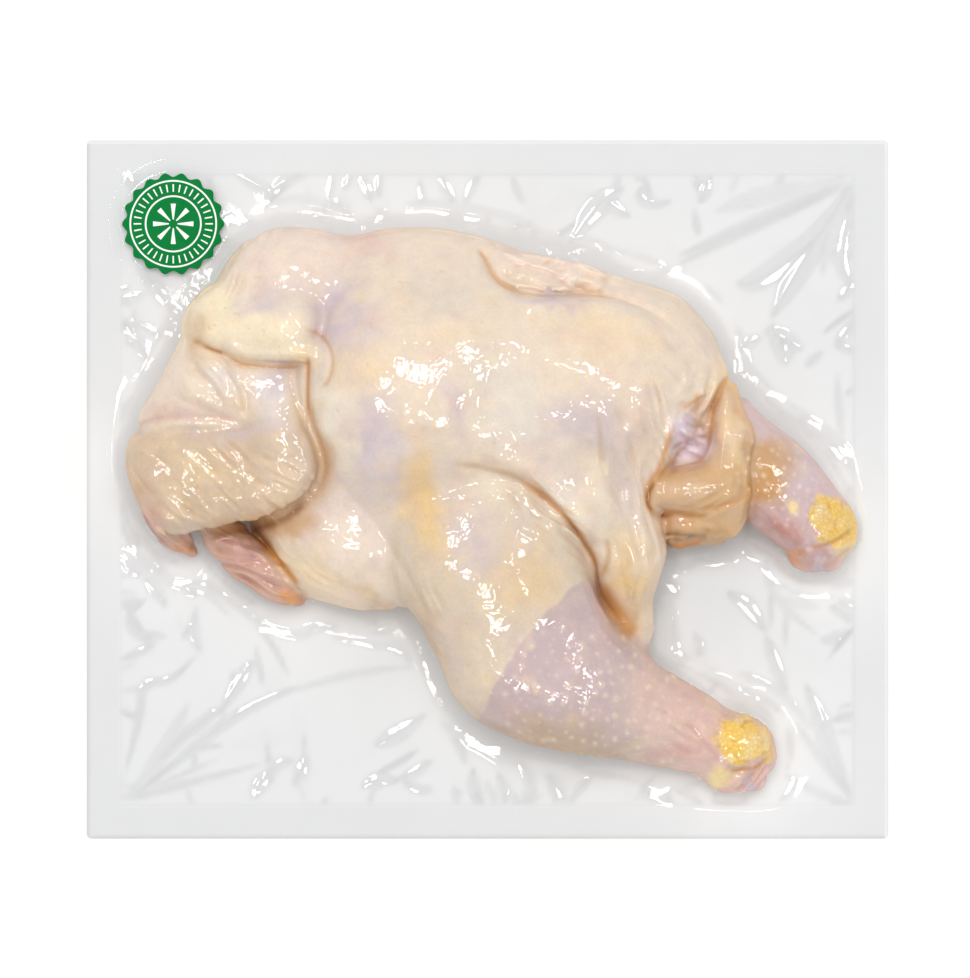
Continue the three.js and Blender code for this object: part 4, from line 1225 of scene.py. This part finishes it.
def stretched(heights, step, steepest):
    """Each point raised to within the steepest slope of its neighbours."""
    heights = heights.copy()
    sweeps = int(np.ceil(heights.max() / steepest / step)) + 1
    for _ in range(sweeps):
        padded = np.pad(heights, 1, mode="edge")
        best = heights
        for di, dj in ((-1, 0), (1, 0), (0, -1), (0, 1), (-1, -1), (1, 1), (-1, 1), (1, -1)):
            moved = padded[1 + di : 1 + di + heights.shape[0], 1 + dj : 1 + dj + heights.shape[1]]
            best = np.maximum(best, moved - steepest * step * math.hypot(di, dj))
        if np.array_equal(best, heights):
            break
        heights = best
    return heights


def eased(heights, passes):
    """Bends rounded off by so many passes of a small mean."""
    for _ in range(passes):
        for axis in (0, 1):
            padded = np.pad(heights, [(1, 1) if a == axis else (0, 0) for a in (0, 1)], mode="edge")
            before = np.take(padded, range(0, heights.shape[axis]), axis)
            after = np.take(padded, range(2, heights.shape[axis] + 2), axis)
            heights = (before + 2 * heights + after) / 4
    return heights


# Folds of the film: leaf-shaped, with flat flanks that all have the same tilt. Each has its tilt,
# its greatest half width, and the points along it.
FILM_FOLDS = [
    # fan from the corner at +X, +Y
    (0.24, 2.0, (160, 135.4), (118, 118), (78.7, 99.7)),
    (0.22, 1.6, (161, 134), (112, 112), (76, 95)),
    (0.24, 5.0, (159.5, 134.9), (143.1, 110.3), (118.5, 91.5), (108, 90)),
    (0.26, 5.5, (160, 134.3), (137.2, 98.6), (123.7, 74)),
    (0.22, 3.0, (160.6, 133.7), (154.8, 100.9), (160.5, 88)),
    (0.15, 3.0, (160, 134), (149, 112), (146, 92)),
    (0.12, 4.0, (158, 136), (120, 128), (98, 121)),
    # along the far edge
    (0.26, 5.0, (35.4, 106), (44, 119), (51.7, 127), (60, 132)),
    (0.24, 3.5, (44, 128), (51.7, 125.5), (63, 118.5)),
    (0.26, 3.0, (97.5, 137), (95, 131), (93, 124.7)),
    (0.22, 2.2, (68, 133), (66.5, 128), (73, 124.5), (82, 126.3)),
    (0.24, 3.0, (-112, 139), (-98, 131.5), (-95, 125)),
    (0.22, 2.6, (-96, 130), (-88, 135), (-78, 137.5)),
    (0.26, 2.4, (-56, 138), (-52.5, 131), (-50.5, 125)),
    (0.26, 2.2, (-22, 138), (-17.5, 131), (-14, 124)),
    (0.22, 2.0, (-3, 138), (-7, 132), (-10, 124)),
    (0.24, 3.0, (-73, 119.5), (-66.3, 124.9), (-58, 117)),
    (0.22, 2.4, (9, 114), (18, 115), (21, 109)),
    (0.2, 1.6, (-30, 137), (-27, 120)),
    (0.2, 1.6, (10, 138), (16, 124)),
    # between label and shoulder
    (0.26, 3.6, (-153, 103), (-146, 90), (-133.5, 73)),
    (0.2, 2.0, (-134.2, 75.2), (-143, 48), (-160, 21)),
    (0.18, 1.6, (-149, 58), (-153, 40), (-160, 21)),
    (0.24, 2.8, (-160, 71), (-153, 65), (-148, 55)),
    (0.18, 1.6, (-161, 75), (-150, 71), (-141, 66)),
    (0.24, 3.2, (-160, 138), (-154, 134), (-149, 129)),
    (0.22, 2.2, (-117, 118.7), (-108, 118), (-99, 115.5)),
    (0.22, 1.8, (-120, 110), (-112, 108), (-104, 104)),
    # side at +X
    (0.26, 4.5, (121, 70), (129, 66), (138, 61)),
    (0.26, 4.5, (124, 73), (129, 62), (130, 54)),
    (0.22, 2.6, (120, 67), (114, 64), (108, 59)),
    (0.24, 2.6, (160, 92), (157, 87), (153, 82)),
    (0.24, 2.6, (161, 76), (157, 69), (151, 63)),
    (0.22, 2.0, (151, 63), (156, 62), (161, 59)),
    (0.22, 2.0, (147, 61), (141.9, 56.4), (139, 54)),
    (0.22, 3.0, (119.6, 42.4), (129, 28), (143.5, 11)),
    (0.24, 2.6, (137, 33), (141, 24), (145, 16)),
    (0.2, 1.6, (152.4, 52), (153.5, 36), (155, 22)),
    (0.2, 1.6, (146, 18), (153, 15), (160, 12.5)),
    # bay between the two legs
    (0.24, 3.0, (86, -29), (98.6, -26.3), (119, -21.5)),
    (0.26, 3.6, (104, -44.5), (113.8, -50.9), (122, -63)),
    (0.26, 2.8, (121.5, -63), (126, -76), (131, -90)),
    (0.24, 4.0, (138.5, -84), (144.2, -97), (150, -114), (160, -137)),
    (0.18, 1.8, (120.8, -25.1), (125.5, -46.2), (145.4, -65)),
    (0.24, 2.6, (145, -66), (152, -65), (160, -60.5)),
    (0.24, 2.4, (149, -51), (154, -53), (159, -58.5)),
    (0.2, 1.5, (77.5, -47), (77, -57), (76.3, -69)),
    (0.22, 2.0, (76, -36), (81, -42), (83.5, -48)),
    (0.22, 2.2, (90, -62), (93, -68), (91, -74)),
    (0.18, 2.0, (127.8, -123.5), (146, -133), (161, -138)),
    (0.18, 1.8, (133, -100), (146, -118), (161, -138)),
    (0.22, 1.6, (161.6, -42), (160.5, -52), (161.8, -62)),
    # corner at -X, -Y
    (0.24, 2.0, (-160.5, -132), (-152.3, -101), (-150, -86), (-138, -82.5), (-125.4, -71)),
    (0.24, 2.2, (-125.4, -72), (-128.3, -62.6), (-127, -50)),
    (0.24, 2.2, (-159.3, -135.7), (-138, -113), (-119.5, -97.7), (-114, -98)),
    (0.24, 2.2, (-157, -136), (-136, -119), (-112.5, -100.6), (-91.4, -89.5), (-76, -85)),
    (0.16, 1.6, (-92, -90), (-60, -81), (-28, -76.6)),
    (0.2, 1.6, (-159.3, -136.3), (-139.4, -130.5), (-91.4, -118)),
    (0.14, 3.5, (-158, -136), (-140, -112), (-130, -92)),
    (0.26, 3.2, (-102.5, -74), (-108, -83), (-117, -98)),
    (0.26, 3.4, (-102.5, -135), (-99.5, -129), (-94.5, -122)),
    (0.26, 3.0, (-79.5, -116), (-81, -122), (-85, -130)),
    (0.22, 2.4, (-97, -126), (-91, -120), (-84, -118)),
    (0.26, 3.2, (-56, -130), (-48, -127), (-38, -127)),
    (0.22, 2.4, (-40, -127), (-31, -123), (-24, -118)),
    (0.22, 2.2, (-38, -127), (-30, -131), (-23, -131)),
    (0.2, 4.0, (-50, -112), (-40, -107), (-25.9, -97.7)),
    (0.22, 1.8, (-16.5, -105.9), (-12, -113), (-9, -121)),
    (0.24, 2.4, (-6.5, -121), (-6, -129), (-5.4, -138)),
    (0.24, 2.6, (4, -123), (7.5, -130), (8, -138)),
    # side at -X
    (0.26, 3.4, (-160.5, -4), (-156, -16), (-152, -26)),
    (0.2, 1.6, (-159.3, -6.4), (-147, -26), (-134.8, -46.8)),
    (0.24, 2.4, (-161.5, -30), (-156, -35), (-150.5, -38)),
    (0.24, 2.8, (-150.5, -38), (-145, -44), (-140, -52)),
    (0.24, 2.8, (-134, -39), (-131, -43), (-127, -47)),
    (0.24, 2.0, (-152.9, -43.9), (-156.4, -57.9), (-150, -65), (-143.5, -66.1)),
    (0.22, 1.8, (-143.5, -66), (-152, -71), (-161, -74.5)),
    # near edge, under the drumstick
    (0.24, 2.4, (13, -118), (18, -126), (21, -137)),
    (0.24, 2.6, (24.8, -123.5), (31, -130), (34.2, -138)),
    (0.22, 2.2, (35.4, -137.5), (40, -131), (46, -125)),
    (0.22, 2.0, (66, -128), (72, -133), (80, -137)),
]
LOOSE_INSET = 18.0  # loose folds start at least so far inside the bag's edges
FULL_BEND = 0.5  # the change of slope at which a crease's painted shade is as dark as it gets
DIM_TILT, GLOSSY_TILT = 0.24, 0.12  # tilts of a flank whose painted shade is as dark as flanks get, and of one as glossy as flanks get
FLANK_SHADE = 0.2  # how dark the painted shade on a fold's flank is, as a share of a crease's

# Small folds of the film over the skin: the half width and the points of each.
SKIN_FOLD_TILT = 0.24
SKIN_FOLDS = [
    (2.2, (13, 79.5), (22, 80.6), (33, 81), (45, 81)),
    (1.4, (16, 77.5), (26, 77), (38, 78.5)),
    (1.5, (-79, 70), (-77.5, 66), (-71, 64), (-67, 60), (-65.5, 54), (-67, 47)),
    (1.4, (-78, 66), (-73, 69.5), (-66, 71), (-58, 71.5)),
    (1.4, (-94, 84), (-86, 82.5), (-78, 85), (-72, 88)),
    (2.0, (-90, 80), (-84, 76), (-78, 79)),
    (1.5, (-76, 40), (-75, 34), (-73, 26), (-69, 18)),
    (1.7, (-26, 31), (-22, 42), (-18, 51)),
    (1.4, (-30, 26), (-26, 34), (-23, 40)),
    (2.0, (-44, 36), (-36, 30), (-28, 24)),
    (1.7, (-42, 28), (-34, 34), (-28, 36)),
    (1.4, (-6, 36), (-6, 41), (-3, 46), (0, 42), (-2, 37)),
    (2.0, (7, 29), (11, 22), (14, 17), (15, 11)),
    (1.4, (21, 12), (23, 17), (28, 18), (34, 15)),
    (1.4, (22, 10), (28, 4), (34, -1), (42, -3)),
    (1.4, (15, 10), (24, 3), (34, -6), (48, -15)),
    (1.4, (44, -8), (49, -12), (52, -18)),
    (1.4, (63, 44), (62, 30), (64, 16)),
    (1.2, (69, 40), (67, 26), (68, 12)),
    (1.4, (80, 50), (78.5, 40), (76, 26), (75, 14)),
    (1.2, (63, 8), (62, -4), (62, -18)),
    (1.5, (0, -1), (6, -4), (12, -3), (18, -5)),
    (1.5, (4, 4), (12, 1), (20, -2)),
    (2.0, (9, -12), (12, -20), (10, -28), (14, -36)),
    (2.0, (10, -28), (15, -38), (18, -44), (14, -48)),
    (1.4, (18, -40), (23, -45), (20, -55)),
    (1.4, (28, -44), (34, -48), (38, -49)),
    (1.2, (2, 82), (14, 84), (28, 84), (42, 82)),
    (1.4, (8, 96), (18, 92), (30, 90)),
    (1.4, (-100, 100), (-90, 104), (-80, 103)),
    (1.7, (-66, -14), (-62, -20), (-58, -22)),
    (1.5, (-70, -20), (-64, -24), (-56, -27)),
    (1.4, (46, -86), (50, -90), (55, -88)),
    (1.2, (60, -82), (64, -92), (66, -96)),
    (1.2, (104, -104), (108, -110), (112, -115)),
    (1.2, (140, -8), (146, -12), (150, -18)),
    (1.2, (116, 28), (122, 14), (130, 4)),
]


def leaves_height(x, y, leaves):
    """Height of leaf-shaped folds of the film: flat flanks up to a sharp line."""
    height = np.zeros(x.shape)
    for tilt, half_width, *points in leaves:
        path = smooth_path(points)
        near = around(x, y, path, half_width)
        away, place = along_path(x[near], y[near], path)
        width = half_width * np.sin(np.pi * place)
        height[near] = np.maximum(height[near], tilt * np.maximum(width - away, 0))
    return height


def seal_gathers():
    """Small leaves that run in from the sealed edges."""
    draw = np.random.default_rng(11)
    half = np.array([BAG_LENGTH / 2 - SEAL_WIDTH, BAG_WIDTH / 2 - SEAL_WIDTH])
    for _ in range(60):
        side = draw.integers(4)
        axis = side % 2
        sign = 1 if side < 2 else -1
        start = np.empty(2)
        start[axis] = sign * half[axis]
        start[1 - axis] = draw.uniform(-1, 1) * half[1 - axis]
        length = draw.uniform(4, 16)
        slant = draw.uniform(-0.5, 0.5)
        end = start.copy()
        end[axis] -= sign * length
        end[1 - axis] += slant * length
        middle = (start + end) / 2 + draw.uniform(-0.03, 0.03, 2) * length
        yield draw.uniform(0.1, 0.26), draw.uniform(0.8, 2.0), start, middle, end


def loose_leaf(draw, start, length, turn, bow, tilts, half_widths):
    """A slightly bowed leaf from a place in a direction, its tilt and half width drawn last."""
    step = np.array([math.cos(turn), math.sin(turn)]) * length
    middle = start + step / 2 + np.array([-step[1], step[0]]) * draw.uniform(-bow, bow)
    return draw.uniform(*tilts), draw.uniform(*half_widths), start, middle, start + step


def loose_leaves():
    """Faint wide creases all over the web, and sharp fine ones."""
    draw = np.random.default_rng(23)
    room = (BAG_LENGTH / 2 - LOOSE_INSET, BAG_WIDTH / 2 - LOOSE_INSET)
    for _ in range(70):
        start = draw.uniform(-1, 1, 2) * room
        length = draw.uniform(8, 34)
        turn = draw.uniform(0, 2 * np.pi)
        yield loose_leaf(draw, start, length, turn, 0.12, (0.02, 0.05), (1.2, 4.5))
    for _ in range(110):
        start = draw.uniform(-1, 1, 2) * room
        turn = draw.uniform(0, 2 * np.pi)
        length = draw.uniform(8, 40)
        yield loose_leaf(draw, start, length, turn, 0.06, (0.18, 0.3), (0.5, 1.4))


def side_folds(x, y, away):
    """Folds of the film that run along the bird's side."""
    height = np.zeros(x.shape)
    along = ripples(x, y, 26, 41)
    for at, half_width, tilt, phase in ((5.0, 2.0, 0.24, 0.0), (9.5, 1.8, 0.2, 3.0), (14.5, 2.0, 0.16, 7.0)):
        shift = 2.0 * ripples(x, y, 34, 43, phase)
        width = half_width * smoothstep(ripples(x, y, 30, 47, phase + 0.5), -0.25, 0.35)
        height = np.maximum(height, tilt * np.maximum(width - np.abs(away - at - shift - along), 0))
    return height


def film_weights(x, y, away, from_edge, free, on_web, folds):
    """How much the film at each point clings, shines and is tinted, how dark its painted shade along
    creases, flanks and edges is, and where painted light leaves it untinted beside the bird.
    """
    # painted shade along the folds' bends and, fainter, on their flanks
    bend = eased(np.abs(4 * folds - sum(np.roll(folds, s, a) for s in (-1, 1) for a in (0, 1))), 1)
    crease = free * on_web * np.clip(bend / (FILM_STEP * FULL_BEND), 0, 1)
    tilt = np.hypot(*np.gradient(folds, FILM_STEP))
    crease = np.maximum(crease, free * on_web * FLANK_SHADE * np.clip(tilt / DIM_TILT, 0, 1))
    # painted shadow along the cut edge, and painted shade beside the seal's bead
    crease = np.maximum(crease, np.exp(-((from_edge / CUT_EDGE) ** 2)))
    crease = np.maximum(crease, 0.4 * np.exp(-(((from_edge - SEAL_WIDTH - 1.2) / BEAD_WIDTH) ** 2)))
    uneven = np.clip(0.7 + 0.5 * ripples(x, y, 6, 75), 0.2, 1.3)
    gloss = SKIN_GLOSS + (WEB_GLOSS * uneven - SKIN_GLOSS) * on_web
    gloss = gloss + (1 - WEB_GLOSS) * free * on_web * np.clip(tilt / GLOSSY_TILT, 0, 1)
    # painted light: the web beside the bird is left untinted, over the bird's shadow
    spread = 1 - on_web * np.exp(-away / SPREAD_REACH)
    return {"crease": crease, "cling": 1 - on_web, "gloss": gloss, "spread": spread}


def film_levels(columns, top, bottom):
    """The heights of the upper and the lower film over one grid, and the weights of their material."""
    count_x = int(round(BAG_LENGTH / FILM_STEP)) + 1
    count_y = int(round(BAG_WIDTH / FILM_STEP)) + 1
    x, y = np.meshgrid(
        np.linspace(-BAG_LENGTH / 2, BAG_LENGTH / 2, count_x),
        np.linspace(-BAG_WIDTH / 2, BAG_WIDTH / 2, count_y),
        indexing="ij",
    )
    away = np.maximum(bird_without_folds(x, y, SIDE_LEVEL), 0)
    from_edge = np.minimum(BAG_LENGTH / 2 - np.abs(x), BAG_WIDTH / 2 - np.abs(y))
    off_seal = smoothstep(from_edge, SEAL_WIDTH - 2.5, SEAL_WIDTH + 5.5)
    crumpled = 1 + WEB_CRUMPLE * ripples(x, y, 10, 45)
    web = WEB_BASE + WEB_HEIGHT * off_seal * np.exp(-away / WEB_REACH) * crumpled
    skin_top = sampled(top, columns, x, y)
    skin_bottom = sampled(np.where(top > 0, bottom, NO_SKIN), columns, x, y)

    over = np.maximum(skin_top + CLING, web + FILM_GAP / 2)
    over = stretched(over, FILM_STEP, STEEPEST)
    over = np.maximum(eased(over, 2), skin_top + CLING)
    over = eased(over, 1)

    free = smoothstep(from_edge, SEAL_WIDTH - 0.5, SEAL_WIDTH + 2.5)
    folds = leaves_height(x, y, [*FILM_FOLDS, *seal_gathers(), *loose_leaves()])
    folds = np.maximum(folds, side_folds(x, y, away))
    on_web = smoothstep(web + 4.0 - over, -4.0, 2.0)
    waves = WAVE_HEIGHT * ripples(x, y, 28, 61) * smoothstep(away, 0, 20)
    crumple = CRUMPLE_HEIGHT * (1 - 2 * np.abs(ripples(x, y, 7, 71)))
    creases = leaves_height(x, y, [(SKIN_FOLD_TILT, *fold) for fold in SKIN_FOLDS])
    over = over + free * (on_web * (folds + waves) + (1 - on_web) * creases + crumple)
    over = over + SEAL_BEAD * np.exp(-(((from_edge - SEAL_WIDTH) / BEAD_WIDTH) ** 2))
    over = eased(over, 1)

    centre, radius, label_base, _ = label_place()
    from_label = np.hypot(x - centre[0], y - centre[1]) - radius - LABEL_MARGIN
    loose = smoothstep(from_label, 0, LABEL_FADE)
    over = (label_base - LABEL_GAP) * (1 - loose) + over * loose

    sag = np.minimum(skin_bottom - CLING, web - FILM_GAP / 2 + free * on_web * folds * LOWER_SHARE)
    under = np.maximum(LOWER_LIFT - stretched(LOWER_LIFT - sag, FILM_STEP, STEEPEST), BAG_FLOOR)
    under = np.minimum(np.maximum(eased(under, 2), BAG_FLOOR), over - FILM_GAP)
    return x, y, over, under, film_weights(x, y, away, from_edge, free, on_web, folds)


def rounded_corners(x, y):
    """Points beyond the arcs of the bag's corners, pulled in onto them."""
    inner = np.array([BAG_LENGTH / 2, BAG_WIDTH / 2]) - CORNER_RADIUS
    px, py = np.abs(x) - inner[0], np.abs(y) - inner[1]
    reach = np.hypot(px, py)
    out = (px > 0) & (py > 0) & (reach > CORNER_RADIUS)
    scale = np.where(out, CORNER_RADIUS / np.maximum(reach, 1e-6), 1.0)
    new_x = np.where(out, np.sign(x) * (inner[0] + px * scale), x)
    new_y = np.where(out, np.sign(y) * (inner[1] + py * scale), y)
    return new_x, new_y


def film_sheet(name, x, y, heights, weights, materials):
    """A sheet of film over a grid with its weights, its border in the second material."""
    faces = grid_faces(*x.shape)
    px, py = rounded_corners(x, y)
    points = np.stack([px.ravel(), py.ravel(), heights.ravel()], 1)
    middle = points[faces].mean(1)
    from_edge = np.minimum(BAG_LENGTH / 2 - np.abs(middle[:, 0]), BAG_WIDTH / 2 - np.abs(middle[:, 1]))
    sheet = mesh_object(name, points, faces, materials, from_edge < SEAL_WIDTH)
    for weight_name, values in weights.items():
        point_weight(sheet, weight_name, values)
    return sheet


# ---------- The label ----------
SCALLOPS = 18
SCALLOP_DEPTH = 1.8
LABEL_RINGS = 12
LABEL_SPOKES = 360
BEVEL_AT, BEVEL_DEPTH = 0.985, 0.06  # share of the radius where the face starts to fall, and how far


def make_label():
    """A thin disc with a scalloped edge, its face slightly domed at the rim."""
    centre, radius, base, face = label_place()
    turn = np.linspace(0, 2 * np.pi, LABEL_SPOKES, endpoint=False)
    rim = radius - SCALLOP_DEPTH * (1 - (1 + np.cos(SCALLOPS * turn)) / 2)
    points = [(centre[0], centre[1], face)]
    shares = [*np.linspace(0, 1, LABEL_RINGS + 1)[1:-1], BEVEL_AT, 1.0, 1.0]
    levels = [*[face] * (len(shares) - 2), face - BEVEL_DEPTH, base]
    for share, level in zip(shares, levels):
        ring = np.stack([centre[0] + share * rim * np.cos(turn), centre[1] + share * rim * np.sin(turn)], 1)
        points.extend((px, py, level) for px, py in ring)
    points.append((centre[0], centre[1], base))
    spokes = np.arange(LABEL_SPOKES)
    after = (spokes + 1) % LABEL_SPOKES
    quads = []
    for ring in range(len(shares) - 1):
        inner, outer = 1 + ring * LABEL_SPOKES, 1 + (ring + 1) * LABEL_SPOKES
        quads.append(np.stack([inner + spokes, outer + spokes, outer + after, inner + after], 1))
    last = 1 + (len(shares) - 1) * LABEL_SPOKES
    bottom = len(points) - 1
    fans = [
        *[(0, 1 + s, 1 + a) for s, a in zip(spokes, after)],
        *[(bottom, last + a, last + s) for s, a in zip(spokes, after)],
    ]
    mesh = bpy.data.meshes.new("label")
    faces = [tuple(int(v) for v in q) for q in np.vstack(quads)] + [tuple(int(v) for v in f) for f in fans]
    mesh.from_pydata([tuple(c * MM for c in p) for p in points], [], faces)
    mesh.materials.append(label_material())
    mesh.polygons.foreach_set("use_smooth", np.ones(len(faces), bool))
    made = bpy.data.objects.new("label", mesh)
    bpy.context.scene.collection.objects.link(made)
    return made


# ---------- Stage ----------
CAMERA_HEIGHT = 2200.0
CAMERA_AT = (-1.1, 0.2)
VIEW_WIDTH = 423.8  # millimetres across the picture at the floor
SENSOR = 36.0
FLOOR_HALF = 2500.0
LAMP_DISTANCE = 1.7  # metres
# Strips that the skin and the film mirror: their directions round the pack and from straight above.
STRIPS = [(14, 31), (52, 27), (90, 36), (170, 26), (206, 32), (246, 27), (282, 35), (322, 28)]


def make_camera():
    data = bpy.data.cameras.new("camera")
    data.sensor_fit = "HORIZONTAL"
    data.sensor_width = SENSOR
    data.lens = SENSOR * CAMERA_HEIGHT / VIEW_WIDTH
    camera = bpy.data.objects.new("camera", data)
    camera.location = [c * MM for c in (*CAMERA_AT, CAMERA_HEIGHT)]
    bpy.context.scene.collection.objects.link(camera)
    bpy.context.scene.camera = camera


def softbox(name, azimuth, polar, distance, size, radiance, lights=False, roll=0):
    """A rectangular light that points at the pack, with the radiance of its face. One kind lights the
    pack and isn't mirrored, the other is only mirrored."""
    data = bpy.data.lights.new(name, "AREA")
    data.shape = "RECTANGLE"
    data.size, data.size_y = size
    data.energy = radiance * math.pi * size[0] * size[1]
    lamp = bpy.data.objects.new(name, data)
    a, p = math.radians(azimuth), math.radians(polar)
    turn = Matrix.Rotation(a + math.pi / 2, 4, "Z") @ Matrix.Rotation(p, 4, "X")
    turn = turn @ Matrix.Rotation(math.radians(roll), 4, "Z")
    lamp.matrix_world = turn @ Matrix.Translation((0, 0, distance))
    lamp.visible_camera = False
    lamp.visible_glossy = not lights
    lamp.visible_diffuse = lights
    bpy.context.scene.collection.objects.link(lamp)


def make_floor():
    material, tree = new_material("floor_white")
    place = node(tree, "TexCoord").outputs["Object"]
    grain = node(tree, "TexNoise", {"Vector": place, "Scale": 30.0}).outputs["Fac"]
    colour = mixed_colour(tree, grain, (0.84, 0.84, 0.84, 1), (0.855, 0.855, 0.855, 1))
    surface = node(tree, "BsdfDiffuse", {"Color": colour})
    node(tree, "OutputMaterial", {"Surface": surface.outputs[0]})
    corners = FLOOR_HALF * np.array([(-1, -1, 0), (1, -1, 0), (1, 1, 0), (-1, 1, 0)])
    floor = mesh_object("floor", corners, np.array([[0, 1, 2, 3]]), [material])
    floor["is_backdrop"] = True


def make_world(strength):
    world = bpy.data.worlds.new("studio")
    world.use_nodes = True
    background = world.node_tree.nodes["Background"]
    background.inputs["Color"].default_value = (1.0, 0.995, 0.985, 1.0)
    background.inputs["Strength"].default_value = strength
    bpy.context.scene.world = world


make_camera()
make_floor()
make_world(strength=0.76)
softbox("key", 92, 12, distance=4.0, size=(2.2, 2.2), radiance=5.7, lights=True)
softbox("window_left", 135, 21.2, LAMP_DISTANCE, size=(0.07, 0.34), radiance=26, roll=-45)
softbox("window_right", 125, 19.4, LAMP_DISTANCE, size=(0.08, 0.34), radiance=26, roll=-35)
for azimuth, polar in STRIPS:
    softbox(f"strip_{azimuth}", azimuth, polar, LAMP_DISTANCE, size=(0.26, 0.16), radiance=18)
bpy.context.scene.view_settings.view_transform = "Standard"

field, columns, background = bird_field()
top, bottom = skin_levels(field, columns)
bird = make_bird(field, columns, background)

film = film_material("clear_film", FRONT_TINT, pressed=False)
seal = film_material("pressed_film", SEAL_TINT, pressed=True)
under_film = film_material("clear_film_under", BACK_TINT, pressed=False)
x, y, over, under, weights = film_levels(columns, top, bottom)
front = film_sheet("bag_front", x, y, over, weights, [film, seal])
skip = (slice(None, None, BACK_FILM_STEP),) * 2
coarse = {name: values[skip] for name, values in weights.items()}
back = film_sheet("bag_back", x[skip], y[skip], under[skip], coarse, [under_film, under_film])
label = make_label()

for piece in (bird, front, back):
    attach(piece, "root")
    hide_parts("packed_chicken")
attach(label, "root")
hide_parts("round_label")

boxes = {"cad": CAD_BOX, "visual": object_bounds()}
sizes = {name: [[float(c) for c in corner] for corner in box] for name, box in boxes.items()}
